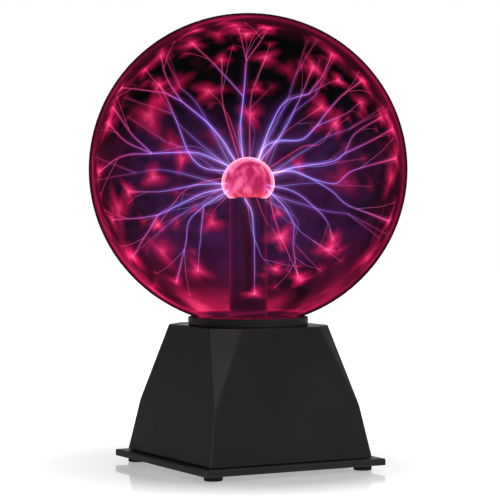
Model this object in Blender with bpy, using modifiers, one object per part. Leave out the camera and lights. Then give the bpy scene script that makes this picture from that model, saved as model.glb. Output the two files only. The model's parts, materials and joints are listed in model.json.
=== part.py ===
"""An 8 inch plasma ball: a glass globe on a faceted base that holds the driver board, a power socket and
a three-position rocker switch. Run with blender --background --python part.py.

Millimetres are written as n * MM. The origin is the middle of the footprint on the table, +Z is up, and the
wall with the switch and the power socket faces +Y.
"""

import math

import bmesh
import bpy
from mathutils import Matrix, Vector

MM = 0.001
GAP = 0.3 * MM  # clearance between two pieces that touch on the real object

# ---- Driving dimensions ----------------------------------------------------------------------------------
GLOBE_RADIUS = 101.5 * MM
GLOBE_FLATNESS = 0.98  # height of the blown globe over its width
GLOBE_WALL = 2.0 * MM
NECK_RADIUS = 33.5 * MM
NECK_LENGTH = 18.5 * MM

STEM_RADIUS = 12.0 * MM
STEM_WALL = 1.3 * MM
BULB_RADIUS = 17.0 * MM
BULB_LOWER_HEIGHT = 13.25 * MM  # half height of the bulb's lower, flatter half
BULB_DROP = 8.7 * MM  # how far the bulb's middle lies below the globe's
LINER_WALL = 0.8 * MM

HOUSING_FOOT_HALF = 57.6 * MM
HOUSING_TOP_HALF = 42.8 * MM
HOUSING_HEIGHT = 82.5 * MM
HOUSING_WALL = 2.5 * MM
FACET_TIP_HEIGHT = 32.0 * MM  # of the triangular corner facets, above the housing's lower edge
FACET_LEG = 15.2 * MM  # what a facet takes off each side of the top square
EDGE_ROUNDING = 0.5 * MM

PLATE_HALF = 63.7 * MM
PLATE_THICKNESS = 4.3 * MM
FOOT_RADIUS = 5.8 * MM
FOOT_HEIGHT = 3.0 * MM
FOOT_CHAMFER = 0.7 * MM
FOOT_PLACE = 53.0 * MM  # feet stand at (+-, +-) this far from the middle

COLLAR_RADIUS = 38.3 * MM
COLLAR_HEIGHT = 4.8 * MM
GLOBE_OVER_HOUSING = 98.4 * MM  # globe's middle above the housing's top face

PANEL_HEIGHT = 27.0 * MM  # of the controls' middle, above the housing's lower edge
SWITCH_PLACE = -19.0 * MM  # along the panel, to the right when seen from behind
MICROPHONE_PLACE = 1.5 * MM
SOCKET_PLACE = 20.0 * MM

ROCKER_TILT = math.radians(12)  # each side of the middle, OFF position; the rest position is ON
LEVER_TILT = 0.66 * ROCKER_TILT  # the see-saw contact leans the other way, and less

# ---- Levels worked out from them -------------------------------------------------------------------------
PLATE_LOW = FOOT_HEIGHT + GAP
PLATE_HIGH = PLATE_LOW + PLATE_THICKNESS
HOUSING_LOW = PLATE_HIGH + GAP
HOUSING_HIGH = HOUSING_LOW + HOUSING_HEIGHT
COLLAR_LOW = HOUSING_HIGH + GAP
COLLAR_HIGH = COLLAR_LOW + COLLAR_HEIGHT
GLOBE_MIDDLE = HOUSING_HIGH + GLOBE_OVER_HOUSING
BULB_MIDDLE = GLOBE_MIDDLE - BULB_DROP
SLANT = math.atan((HOUSING_FOOT_HALF - HOUSING_TOP_HALF) / HOUSING_HEIGHT)
CEILING = HOUSING_HIGH - HOUSING_WALL  # underside of the housing's top

ROUND_STEPS = 36
TUBE_STEPS = 24
SMALL_STEPS = 12
TINY_STEPS = 8
GLOBE_ARCS = 11
OVERRUN = 2.0 * MM  # how far a cutter runs past the face it opens
ROOT = 1.0 * MM  # how far a post or a rib starts inside what it is joined to


# ---- Scene and materials ---------------------------------------------------------------------------------
def clear_scene():
    for obj in list(bpy.data.objects):
        bpy.data.objects.remove(obj)


def new_collection(name):
    made = bpy.data.collections.new(name)
    bpy.context.scene.collection.children.link(made)
    return made


def make_material(name, colour, roughness, metallic=0.0, alpha=1.0):
    made = bpy.data.materials.new(name)
    made.use_nodes = True
    shader = made.node_tree.nodes["Principled BSDF"]
    shader.inputs["Base Color"].default_value = (*colour, 1.0)
    shader.inputs["Roughness"].default_value = roughness
    shader.inputs["Metallic"].default_value = metallic
    shader.inputs["Alpha"].default_value = alpha
    return made


clear_scene()
PARTS = new_collection("plasma_ball")
CUTTERS = new_collection("cutters")
CUTTERS.hide_render = True

BLACK_PLASTIC = make_material("black_plastic", (0.016, 0.016, 0.017), 0.42)
SWITCH_PLASTIC = make_material("switch_plastic", (0.012, 0.012, 0.013), 0.3)
RUBBER = make_material("rubber", (0.02, 0.02, 0.02), 0.8)
SILICONE = make_material("silicone", (0.55, 0.55, 0.56), 0.6)
CLEAR_GLASS = make_material("clear_glass", (0.9, 0.85, 0.9), 0.03, alpha=0.3)
LINER_METAL = make_material("liner", (0.85, 0.2, 0.32), 0.35, metallic=0.6)
STEEL = make_material("steel", (0.6, 0.6, 0.62), 0.3, metallic=1.0)
BRASS = make_material("brass", (0.8, 0.62, 0.3), 0.3, metallic=1.0)
ALUMINIUM = make_material("aluminium", (0.75, 0.76, 0.78), 0.35, metallic=1.0)
BOARD_GREEN = make_material("board_green", (0.05, 0.22, 0.09), 0.5)
FERRITE = make_material("ferrite", (0.05, 0.05, 0.055), 0.7)
COIL_TAPE = make_material("coil_tape", (0.75, 0.55, 0.08), 0.45)
CHIP_BLACK = make_material("chip_black", (0.03, 0.03, 0.03), 0.5)
CAPACITOR_BLUE = make_material("capacitor_blue", (0.03, 0.06, 0.22), 0.35)
RED_WIRE = make_material("red_wire", (0.55, 0.03, 0.03), 0.45)
BLACK_WIRE = make_material("black_wire", (0.02, 0.02, 0.02), 0.45)
WHITE_WIRE = make_material("white_wire", (0.8, 0.8, 0.78), 0.45)


# ---- Modelling helpers -----------------------------------------------------------------------------------
def place(name, mesh, material=None, parent=None, location=(0, 0, 0), rotation=(0, 0, 0)):
    """A named object. With no material it is a cutter or a tool, which stays out of the render."""
    obj = bpy.data.objects.new(name, mesh)
    obj.location = location
    obj.rotation_euler = rotation
    obj.parent = parent
    if material is None:
        CUTTERS.objects.link(obj)
        obj.hide_render = True
        obj.display_type = "WIRE"
    else:
        PARTS.objects.link(obj)
        obj.data.materials.append(material)
    return obj


def empty(name, location, rotation=(0, 0, 0), parent=None):
    obj = bpy.data.objects.new(name, None)
    obj.location = location
    obj.rotation_euler = rotation
    obj.parent = parent
    PARTS.objects.link(obj)
    return obj


def mesh_from(name, bm):
    mesh = bpy.data.meshes.new(name)
    bm.to_mesh(mesh)
    bm.free()
    return mesh


def block_mesh(name, *boxes):
    """One mesh of boxes, each given as (size, centre)."""
    bm = bmesh.new()
    for size, centre in boxes:
        matrix = Matrix.Translation(centre) @ Matrix.Diagonal((*size, 1))
        bmesh.ops.create_cube(bm, size=1, matrix=matrix)
    return mesh_from(name, bm)


def rod_mesh(name, radius, low, high, places=((0, 0),), steps=SMALL_STEPS):
    """One mesh of upright cylinders between two heights, one for each place."""
    bm = bmesh.new()
    for x, y in places:
        matrix = Matrix.Translation((x, y, (low + high) / 2))
        bmesh.ops.create_cone(
            bm,
            cap_ends=True,
            segments=steps,
            radius1=radius,
            radius2=radius,
            depth=high - low,
            matrix=matrix,
        )
    mesh = mesh_from(name, bm)
    shade_round(mesh)
    return mesh


def shade_round(mesh):
    mesh.shade_smooth()
    mesh.set_sharp_from_angle(angle=math.radians(35))


def turned(name, profile, material, steps=ROUND_STEPS, closed=False, **placing):
    """A profile of (radius, height) points swept round the local Z axis.

    An open profile starts and ends on the axis. It runs down the outer side, and back up any inner side.
    """
    count = len(profile)
    edges = [(i, i + 1) for i in range(count - 1)]
    if closed:
        edges.append((count - 1, 0))
    mesh = bpy.data.meshes.new(name)
    mesh.from_pydata([(radius, 0, height) for radius, height in profile], edges, [])
    obj = place(name, mesh, material, **placing)
    screw = obj.modifiers.new("turn", "SCREW")
    screw.steps = steps
    screw.render_steps = steps
    screw.use_merge_vertices = True
    screw.merge_threshold = 0.01 * MM
    screw.use_smooth_shade = True
    return obj


def ring_profile(inner, outer, low, high, rounding=0.0):
    """A rectangular section with its two outer corners cut off by the rounding."""
    r = rounding
    if not r:
        return [(inner, high), (outer, high), (outer, low), (inner, low)]
    outer_side = [(outer - r, high), (outer, high - r), (outer, low + r), (outer - r, low)]
    return [(inner, high), *outer_side, (inner, low)]


def bend(start, corner, end, steps=2):
    """Points after start on the smooth curve that leaves towards corner and arrives at end."""
    points = []
    for i in range(1, steps + 1):
        t = i / steps
        a, b, c = (1 - t) ** 2, 2 * t * (1 - t), t * t
        points.append(tuple(a * p + b * q + c * r for p, q, r in zip(start, corner, end)))
    return points


def ellipse(radius, half_height, middle, first, last, steps):
    """Points (radius, height) on an upright ellipse, from one angle above the horizontal to another."""
    points = []
    for i in range(steps + 1):
        angle = first + (last - first) * i / steps
        points.append((radius * math.cos(angle), middle + half_height * math.sin(angle)))
    return points


def boolean(target, tool, operation):
    modifier = target.modifiers.new(tool.name, "BOOLEAN")
    modifier.operation = operation
    modifier.solver = "EXACT"
    modifier.object = tool
    return target


def cut(target, mesh, **placing):
    return boolean(target, place(mesh.name, mesh, **placing), "DIFFERENCE")


def join(target, mesh, **placing):
    return boolean(target, place(mesh.name, mesh, **placing), "UNION")


def bevel(obj, width, segments=1, angle=math.radians(25)):
    modifier = obj.modifiers.new("rounding", "BEVEL")
    modifier.width = width
    modifier.segments = segments
    modifier.limit_method = "ANGLE"
    modifier.angle_limit = angle
    return obj


def wire(name, points, radius, material, steps=12):
    """A round lead along a smooth path through the points."""
    smooth = smooth_path(points, steps)
    curve = bpy.data.curves.new(name, "CURVE")
    curve.dimensions = "3D"
    curve.bevel_depth = radius
    curve.bevel_resolution = 1
    curve.use_fill_caps = True
    spline = curve.splines.new("POLY")
    spline.points.add(len(smooth) - 1)
    for point, place_on_path in zip(spline.points, smooth):
        point.co = (*place_on_path, 1)
    return place(name, curve, material)


def smooth_path(points, steps):
    """Evenly stepped points on a Catmull-Rom curve through the given ones."""
    knots = [Vector(p) for p in points]
    knots = [2 * knots[0] - knots[1], *knots, 2 * knots[-1] - knots[-2]]
    spans = len(knots) - 3
    path = []
    for i in range(steps + 1):
        along = min(i / steps * spans, spans - 1e-9)
        k, t = int(along), along - int(along)
        a, b, c, d = knots[k : k + 4]
        square, cube = 2 * a - 5 * b + 4 * c - d, 3 * b - a - 3 * c + d
        path.append((2 * b + (c - a) * t + square * t**2 + cube * t**3) / 2)
    return path


def slab_mesh(name, outline, thickness, matrix=None):
    """A flat outline given some thickness, as a mesh whose caps are welded to its sides."""
    curve = bpy.data.curves.new(name, "CURVE")
    curve.dimensions = "2D"
    curve.fill_mode = "BOTH"
    curve.extrude = thickness / 2
    spline = curve.splines.new("POLY")
    spline.points.add(len(outline) - 1)
    for point, (x, y) in zip(spline.points, outline):
        point.co = (x, y, 0, 1)
    spline.use_cyclic_u = True
    drawn = bpy.data.objects.new(name, curve)
    CUTTERS.objects.link(drawn)
    bpy.context.view_layer.update()
    mesh = bpy.data.meshes.new_from_object(drawn.evaluated_get(bpy.context.evaluated_depsgraph_get()))
    mesh.name = name
    bpy.data.objects.remove(drawn)
    bm = bmesh.new()
    bm.from_mesh(mesh)
    bmesh.ops.remove_doubles(bm, verts=bm.verts, dist=0.01 * MM)
    bmesh.ops.recalc_face_normals(bm, faces=bm.faces)
    bm.to_mesh(mesh)
    bm.free()
    if matrix is not None:
        mesh.transform(matrix)
    return mesh


def four_places(distance):
    return [(sx * distance, sy * distance) for sx in (-1, 1) for sy in (-1, 1)]


# ---- Housing ---------------------------------------------------------------------------------------------
SCREW_POST_PLACE = 44.0 * MM
SCREW_POST_RADIUS = 4.0 * MM
SCREW_POST_HEIGHT = 44.0 * MM
POST_PILOT_DEPTH = 14.0 * MM
BOSS_PLACE = 30.0 * MM  # under the top face, where the retainer is screwed on
BOSS_RADIUS = 3.2 * MM
BOSS_LENGTH = 5.0 * MM
PILOT_RADIUS = 1.25 * MM
COLLAR_BORE = 36.2 * MM
SKIRT_RADIUS = 37.1 * MM


def half_width(height):
    """Half the housing's width at a height above its lower edge."""
    return HOUSING_FOOT_HALF - (HOUSING_FOOT_HALF - HOUSING_TOP_HALF) * height / HOUSING_HEIGHT


def housing_planes():
    """(point, outward normal) of the four sides and of the four corner facets."""
    side = (Vector((HOUSING_FOOT_HALF, 0, HOUSING_LOW)), Vector((math.cos(SLANT), 0, math.sin(SLANT))))
    tip_half = half_width(FACET_TIP_HEIGHT)
    tip = Vector((tip_half, tip_half, HOUSING_LOW + FACET_TIP_HEIGHT))
    one_end = Vector((HOUSING_TOP_HALF, HOUSING_TOP_HALF - FACET_LEG, HOUSING_HIGH))
    other_end = Vector((HOUSING_TOP_HALF - FACET_LEG, HOUSING_TOP_HALF, HOUSING_HIGH))
    facet = (tip, (other_end - tip).cross(one_end - tip).normalized())
    planes = []
    for quarter in range(4):
        turn = Matrix.Rotation(quarter * math.pi / 2, 3, "Z")
        planes += [(turn @ point, turn @ normal) for point, normal in (side, facet)]
    return planes


def faceted_mesh(name, low, high, inset):
    """The housing's outline between two heights, with every wall moved in by the inset."""
    bm = bmesh.new()
    start = Matrix.Translation((0, 0, (low + high) / 2)) @ Matrix.Diagonal(
        (4 * HOUSING_FOOT_HALF, 4 * HOUSING_FOOT_HALF, high - low, 1)
    )
    bmesh.ops.create_cube(bm, size=1, matrix=start)
    for point, normal in housing_planes():
        everything = bm.verts[:] + bm.edges[:] + bm.faces[:]
        bmesh.ops.bisect_plane(
            bm, geom=everything, plane_co=point - inset * normal, plane_no=normal, clear_outer=True
        )
        bmesh.ops.holes_fill(bm, edges=bm.edges)
    bmesh.ops.recalc_face_normals(bm, faces=bm.faces)
    return mesh_from(name, bm)


def make_housing(panel):
    outside = faceted_mesh("base_housing", HOUSING_LOW, HOUSING_HIGH, 0)
    housing = place("base_housing", outside, BLACK_PLASTIC)
    bevel(housing, EDGE_ROUNDING, segments=1, angle=math.radians(12))
    cut(housing, faceted_mesh("cavity", HOUSING_LOW - OVERRUN, CEILING, HOUSING_WALL))
    post_top = HOUSING_LOW + SCREW_POST_HEIGHT
    posts = four_places(SCREW_POST_PLACE)
    bosses = four_places(BOSS_PLACE)
    join(housing, rod_mesh("screw_posts", SCREW_POST_RADIUS, HOUSING_LOW + GAP, post_top, posts))
    boss_low, root = CEILING - BOSS_LENGTH, CEILING + ROOT
    pilot_top = HOUSING_LOW + POST_PILOT_DEPTH
    join(housing, rod_mesh("retainer_bosses", BOSS_RADIUS, boss_low, root, bosses))
    cut(housing, rod_mesh("post_pilots", PILOT_RADIUS, HOUSING_LOW - OVERRUN, pilot_top, posts))
    cut(housing, rod_mesh("boss_pilots", PILOT_RADIUS, boss_low - OVERRUN, root, bosses))
    hole, above = SKIRT_RADIUS + GAP, HOUSING_HIGH + OVERRUN
    cut(housing, rod_mesh("neck_hole", hole, CEILING - OVERRUN, above, steps=ROUND_STEPS))
    cut_panel_openings(housing, panel)
    return housing


# ---- Bottom plate, feet and their screws -----------------------------------------------------------------
SCREW_HOLE_RADIUS = 1.8 * MM
SCREW_HEAD_RADIUS = 3.0 * MM
COUNTERBORE_DEPTH = 2.2 * MM
SCREW_SHANK_RADIUS = 1.0 * MM
SCREW_POINT = 1.2 * MM
SCREW_CROWN = 0.75  # width of a screw head's flat top over the head's
SMALL_HEAD = (2.6 * MM, 1.6 * MM)  # radius and height
PLATE_SCREW_LENGTH = 11.0 * MM
PLATE_SCREW_HEAD = 1.7 * MM
RIB_HALF = 54.0 * MM
RIB_WIDTH = 1.6 * MM
RIB_HEIGHT = 3.0 * MM
STANDOFF_PLACE = 34.0 * MM
STANDOFF_HEIGHT = 6.0 * MM
STANDOFF_RADIUS = 3.2 * MM
VENT_SLOTS = 5
VENT_PITCH = 6.0 * MM
VENT_SIZE = (38.0 * MM, 2.2 * MM)


def make_bottom_plate():
    width = 2 * PLATE_HALF
    middle = (PLATE_LOW + PLATE_HIGH) / 2
    plate = place(
        "bottom_plate",
        block_mesh("bottom_plate", ((width, width, PLATE_THICKNESS), (0, 0, middle))),
        BLACK_PLASTIC,
    )
    bevel(plate, EDGE_ROUNDING)
    rib = 2 * RIB_HALF
    hollow = rib - 2 * RIB_WIDTH
    rib_middle = PLATE_HIGH + (RIB_HEIGHT - ROOT) / 2
    frame = place("rib", block_mesh("rib", ((rib, rib, RIB_HEIGHT + ROOT), (0, 0, rib_middle))))
    cut(frame, block_mesh("rib_hollow", ((hollow, hollow, 4 * RIB_HEIGHT), (0, 0, rib_middle))))
    boolean(plate, frame, "UNION")
    standoffs = four_places(STANDOFF_PLACE)
    standoff_top = PLATE_HIGH + STANDOFF_HEIGHT
    screws = four_places(SCREW_POST_PLACE)
    below, seat = PLATE_LOW - OVERRUN, PLATE_LOW + COUNTERBORE_DEPTH
    join(plate, rod_mesh("standoffs", STANDOFF_RADIUS, PLATE_HIGH - ROOT, standoff_top, standoffs))
    cut(plate, rod_mesh("standoff_pilots", PILOT_RADIUS, PLATE_HIGH, standoff_top + OVERRUN, standoffs))
    cut(plate, rod_mesh("plate_holes", SCREW_HOLE_RADIUS, below, PLATE_HIGH + OVERRUN, screws))
    cut(plate, rod_mesh("counterbores", SCREW_HEAD_RADIUS + GAP, below, seat, screws))
    vents = [
        ((*VENT_SIZE, 3 * PLATE_THICKNESS), (0, (i - (VENT_SLOTS - 1) / 2) * VENT_PITCH, middle))
        for i in range(VENT_SLOTS)
    ]
    cut(plate, block_mesh("vents", *vents))
    return plate


def make_feet():
    for number, (x, y) in enumerate(four_places(FOOT_PLACE), 1):
        bottom = FOOT_RADIUS - FOOT_CHAMFER
        profile = [(0, FOOT_HEIGHT), (FOOT_RADIUS, FOOT_HEIGHT), (FOOT_RADIUS, FOOT_CHAMFER)]
        profile += [(bottom, 0), (0, 0)]
        turned(f"rubber_foot_{number}", profile, RUBBER, steps=SMALL_STEPS, location=(x, y, 0))


def make_screw(name, length, head_radius, head_height, location, rotation=(0, 0, 0)):
    """A cross-head screw. Its head's underside is at its location and its shank points along local +Z."""
    crown = SCREW_CROWN * head_radius
    profile = [
        (0, length),
        (SCREW_SHANK_RADIUS, length - SCREW_POINT),
        (SCREW_SHANK_RADIUS, 0),
        (head_radius, 0),
        (crown, -head_height),
        (0, -head_height),
    ]
    placing = {"location": location, "rotation": rotation}
    screw = turned(name, profile, STEEL, steps=TINY_STEPS, **placing)
    arm, slot, depth = 1.7 * crown, 0.4 * crown, 1.2 * head_height
    bars = [(size, (0, 0, -head_height)) for size in ((arm, slot, depth), (slot, arm, depth))]
    cut(screw, block_mesh(name + "_recess", *bars), **placing)
    screw.modifiers[-1].use_self = True  # the two bars of the cross overlap
    return screw


def make_plate_screws():
    seat = PLATE_LOW + COUNTERBORE_DEPTH - GAP
    for number, (x, y) in enumerate(four_places(SCREW_POST_PLACE), 1):
        name = f"plate_screw_{number}"
        make_screw(name, PLATE_SCREW_LENGTH, SCREW_HEAD_RADIUS, PLATE_SCREW_HEAD, (x, y, seat))


# ---- Collar, gasket and retainer that hold the globe's neck ----------------------------------------------
GASKET_INNER = NECK_RADIUS + GAP
GASKET_OUTER = COLLAR_BORE - GAP
RETAINER_OUTER = 38.6 * MM
RETAINER_BORE = 29.0 * MM
RETAINER_LIP = 2.5 * MM
EAR_REACH = 46.5 * MM
EAR_WIDTH = 9.0 * MM
EAR_THICKNESS = 3.0 * MM
RETAINER_SCREW_LENGTH = 8.0 * MM
NECK_BEND = 2.4 * MM  # how far from the neck's wall the globe starts to bend into it


def ellipse_height(radius, full_radius, full_height):
    return full_height * math.sqrt(1 - (radius / full_radius) ** 2)


NECK_HIGH = GLOBE_MIDDLE - ellipse_height(NECK_RADIUS, GLOBE_RADIUS, GLOBE_RADIUS * GLOBE_FLATNESS)
NECK_LOW = NECK_HIGH - NECK_LENGTH
EAR_HIGH = CEILING - BOSS_LENGTH - GAP


def make_collar():
    """The ring round the neck, with a skirt that drops through the housing's top."""
    low, high, r = COLLAR_LOW, COLLAR_HIGH, 0.5 * MM
    profile = [
        (COLLAR_BORE, high - r),
        (COLLAR_BORE + r, high),
        (COLLAR_RADIUS - r, high),
        (COLLAR_RADIUS, high - r),
        (COLLAR_RADIUS, low),
        (SKIRT_RADIUS, low),
        (SKIRT_RADIUS, CEILING),
        (COLLAR_BORE, CEILING),
    ]
    return turned("collar_ring", profile, BLACK_PLASTIC, closed=True)


def make_gasket():
    low, high = NECK_LOW + 1.0 * MM, NECK_HIGH - 3.0 * MM
    profile = ring_profile(GASKET_INNER, GASKET_OUTER, low, high)
    return turned("neck_gasket", profile, SILICONE, closed=True)


def make_retainer():
    """The cup under the housing's top: the neck's rim stands on its lip, and four ears take its screws."""
    lip_high = NECK_LOW - GAP
    low, high = lip_high - RETAINER_LIP, CEILING - GAP
    retainer = place(
        "retainer_cup",
        rod_mesh("retainer_cup", RETAINER_OUTER, low, high, steps=ROUND_STEPS),
        BLACK_PLASTIC,
    )
    for number, angle in enumerate((math.pi / 4, 3 * math.pi / 4), 1):
        bar_middle = EAR_HIGH - EAR_THICKNESS / 2
        bar = block_mesh(f"ears_{number}", ((2 * EAR_REACH, EAR_WIDTH, EAR_THICKNESS), (0, 0, bar_middle)))
        join(retainer, bar, rotation=(0, 0, angle))
    cut(retainer, rod_mesh("cup_bore", COLLAR_BORE, lip_high, high + OVERRUN, steps=ROUND_STEPS))
    cut(retainer, rod_mesh("lip_bore", RETAINER_BORE, low - OVERRUN, high, steps=ROUND_STEPS))
    ear_low = EAR_HIGH - EAR_THICKNESS
    bosses, above = four_places(BOSS_PLACE), EAR_HIGH + OVERRUN
    cut(retainer, rod_mesh("ear_holes", SCREW_HOLE_RADIUS, ear_low - OVERRUN, above, bosses))
    seat = ear_low - GAP
    for number, (x, y) in enumerate(bosses, 1):
        make_screw(f"retainer_screw_{number}", RETAINER_SCREW_LENGTH, *SMALL_HEAD, (x, y, seat))
    return retainer


# ---- Glass: globe, stem with its bulb, exhaust tip -------------------------------------------------------
FLARE_HIGH = NECK_HIGH - 1.5 * MM
FLARE_THICKNESS = 1.6 * MM
FLARE_FILLET = 4.0 * MM
EXHAUST_PLACE = 21.0 * MM
EXHAUST_RADIUS = 2.6 * MM
EXHAUST_WALL = 0.9 * MM
EXHAUST_LENGTH = 15.0 * MM
PLUG_FLANGE = 14.0 * MM
LEAD_RADIUS = 1.5 * MM


def globe_side(radius, half_height, neck):
    """The globe's section from its top to where the neck runs straight."""
    start_radius = neck + NECK_BEND
    last = -math.acos(start_radius / radius)
    points = ellipse(radius, half_height, GLOBE_MIDDLE, math.pi / 2, last, GLOBE_ARCS)
    points[0] = (0, points[0][1])
    start = points[-1]
    slope = (half_height / radius) ** 2 * start[0] / (GLOBE_MIDDLE - start[1])
    corner = (neck, start[1] - slope * (start[0] - neck))
    end = (neck, corner[1] - NECK_BEND)
    return points + bend(start, corner, end)


def make_globe():
    outer = globe_side(GLOBE_RADIUS, GLOBE_RADIUS * GLOBE_FLATNESS, NECK_RADIUS)
    inner_radius = GLOBE_RADIUS - GLOBE_WALL
    inner_neck = NECK_RADIUS - GLOBE_WALL
    inner = globe_side(inner_radius, GLOBE_RADIUS * GLOBE_FLATNESS - GLOBE_WALL, inner_neck)
    rim = [(NECK_RADIUS, NECK_LOW), (inner_neck, NECK_LOW)]
    return turned("glass_globe", outer + rim + inner[::-1], CLEAR_GLASS)


def bulb_side(shrink, upper_steps=5, lower_steps=2):
    """The bulb's section from its top down to the tube, with the surface moved in by shrink."""
    radius, lower = BULB_RADIUS - shrink, BULB_LOWER_HEIGHT - shrink
    upper_half = ellipse(radius, radius, BULB_MIDDLE, math.pi / 2, 0, upper_steps)
    upper_half[0] = (0, upper_half[0][1])
    last = -math.acos((STEM_RADIUS - shrink) / radius)
    return upper_half + ellipse(radius, lower, BULB_MIDDLE, 0, last, lower_steps)[1:]


def make_stem():
    """The tube that carries the bulb. Its foot flares out to the neck, where the real glass is fused."""
    flare_low = FLARE_HIGH - FLARE_THICKNESS
    rim = NECK_RADIUS - GLOBE_WALL - GAP
    bore = STEM_RADIUS - STEM_WALL
    outer = bulb_side(0)
    start = (STEM_RADIUS, FLARE_HIGH + FLARE_FILLET)
    outer += [start, *bend(start, (STEM_RADIUS, FLARE_HIGH), (STEM_RADIUS + FLARE_FILLET, FLARE_HIGH))]
    inner = bulb_side(STEM_WALL)
    inner += [(bore, flare_low + FLARE_FILLET)]
    inner += bend(inner[-1], (bore, flare_low), (bore + FLARE_FILLET, flare_low))
    edge = [(rim, FLARE_HIGH), (rim, flare_low)]
    stem = turned("glass_stem", outer + edge + inner[::-1], CLEAR_GLASS, steps=TUBE_STEPS)
    hole, above = EXHAUST_RADIUS + GAP, FLARE_HIGH + OVERRUN
    places = [(EXHAUST_PLACE, 0)]
    return cut(stem, rod_mesh("exhaust_hole", hole, flare_low - OVERRUN, above, places, TINY_STEPS))


def make_exhaust_tip():
    """The sealed-off tube through which the gas went in: open to the globe, drawn to a tip below."""
    high, low = FLARE_HIGH + 0.5 * MM, FLARE_HIGH - EXHAUST_LENGTH
    bore = EXHAUST_RADIUS - EXHAUST_WALL
    shoulder = low + 5 * MM
    profile = [(bore, high), (EXHAUST_RADIUS, high), (EXHAUST_RADIUS, shoulder)]
    profile += bend(profile[-1], (EXHAUST_RADIUS, low + 2 * MM), (0, low))
    profile += [(0, low + 2 * MM)]
    profile += bend(profile[-1], (bore, low + 2.5 * MM), (bore, shoulder), 2)
    ring = profile + [profile[0]]
    return turned("exhaust_tip", ring, CLEAR_GLASS, steps=TINY_STEPS, location=(EXHAUST_PLACE, 0, 0))


def make_electrode_liner():
    """The conductive lining of the bulb, open below where the tube starts."""
    outer = bulb_side(STEM_WALL + GAP)
    inner = bulb_side(STEM_WALL + GAP + LINER_WALL)
    inner[-1] = (inner[-1][0], outer[-1][1])
    return turned("electrode_liner", outer + inner[::-1], LINER_METAL, steps=TUBE_STEPS)


def make_stem_plug():
    """The rubber stopper in the stem's mouth, which keeps the high-voltage lead on the axis."""
    flare_low = FLARE_HIGH - FLARE_THICKNESS
    bore, lead = STEM_RADIUS - STEM_WALL - GAP, LEAD_RADIUS + GAP
    shoulder = flare_low - GAP
    profile = [
        (lead, flare_low + 12 * MM),
        (bore - 1 * MM, flare_low + 12 * MM),
        (bore, flare_low + 11 * MM),
        (bore, flare_low + FLARE_FILLET),
        (bore - 0.4 * MM, shoulder - 1 * MM),
        (PLUG_FLANGE, shoulder - 1 * MM),
        (PLUG_FLANGE, shoulder - 3 * MM),
        (lead, shoulder - 3 * MM),
    ]
    return turned("stem_plug", profile, RUBBER, steps=SMALL_STEPS, closed=True)


# ---- Driver board and what is soldered to it -------------------------------------------------------------
BOARD_HALF = 39.0 * MM
BOARD_THICKNESS = 1.6 * MM
BOARD_HOLE_RADIUS = 1.6 * MM
BOARD_SCREW_LENGTH = 6.0 * MM
BOARD_LOW = PLATE_HIGH + STANDOFF_HEIGHT + GAP
BOARD_HIGH = BOARD_LOW + BOARD_THICKNESS
ON_BOARD = BOARD_HIGH + GAP

CORE_PLACE = (-13.0 * MM, -9.0 * MM)
CORE_SIZE = (26.0 * MM, 9.0 * MM, 30.0 * MM)
CORE_LEG = 7.4 * MM
CORE_YOKE = 4.5 * MM
CORE_SIDE = 3.0 * MM
COIL_INNER = 6.1 * MM
COIL_OUTER = 9.7 * MM

SINK_PLACE = (21.0 * MM, -6.0 * MM)
SINK_SIZE = (3.0 * MM, 30.0 * MM, 26.0 * MM)
SINK_FINS = 6
SINK_FIN = (9.0 * MM, 1.4 * MM)  # reach and thickness
SIDEWAYS = (0, math.pi / 2, 0)  # turns local +Z to +X
TAB_SIZE = (1.3 * MM, 10.0 * MM, 15.5 * MM)
TAB_HOLE_HEIGHT = 18.5 * MM
TAB_SCREW_LENGTH = 4.6 * MM
PACKAGE_SIZE = (4.4 * MM, 9.0 * MM)  # depth and height
PACKAGE_LOW = 5.0 * MM
PIN_PITCH = 2.54 * MM
CHIP_ROWS = 7.6 * MM  # between the two rows of a chip's legs
CHIP_SIZE = (6.4 * MM, 3.3 * MM)  # width and height
CHIP_LEG = (1.0 * MM, 1.0 * MM, 2.8 * MM)


def make_board():
    size = (2 * BOARD_HALF, 2 * BOARD_HALF, BOARD_THICKNESS)
    slab = block_mesh("driver_board", (size, (0, 0, (BOARD_LOW + BOARD_HIGH) / 2)))
    board = place("driver_board", slab, BOARD_GREEN)
    holes = four_places(STANDOFF_PLACE)
    cut(board, rod_mesh("board_holes", BOARD_HOLE_RADIUS, BOARD_LOW - OVERRUN, BOARD_HIGH + OVERRUN, holes))
    for number, (x, y) in enumerate(holes, 1):
        seat = (x, y, BOARD_HIGH + GAP)
        make_screw(f"board_screw_{number}", BOARD_SCREW_LENGTH, *SMALL_HEAD, seat, (math.pi, 0, 0))
    return board


def make_flyback():
    """The step-up transformer: a ferrite core with two windows, and its winding round the middle leg."""
    x, y = CORE_PLACE
    width, depth, height = CORE_SIZE
    middle = ON_BOARD + height / 2
    core = place("flyback_core", block_mesh("flyback_core", (CORE_SIZE, (x, y, middle))), FERRITE)
    window_width = width / 2 - CORE_SIDE - CORE_LEG / 2
    window_size = (window_width, 2 * depth, height - 2 * CORE_YOKE)
    off = CORE_LEG / 2 + window_width / 2
    cut(core, block_mesh("core_windows", *((window_size, (x + side * off, y, middle)) for side in (-1, 1))))
    coil_half = height / 2 - CORE_YOKE - GAP
    profile = ring_profile(COIL_INNER, COIL_OUTER, middle - coil_half, middle + coil_half, 0.6 * MM)
    turned("flyback_coil", profile, COIL_TAPE, steps=SMALL_STEPS, closed=True, location=(x, y, 0))


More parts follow.
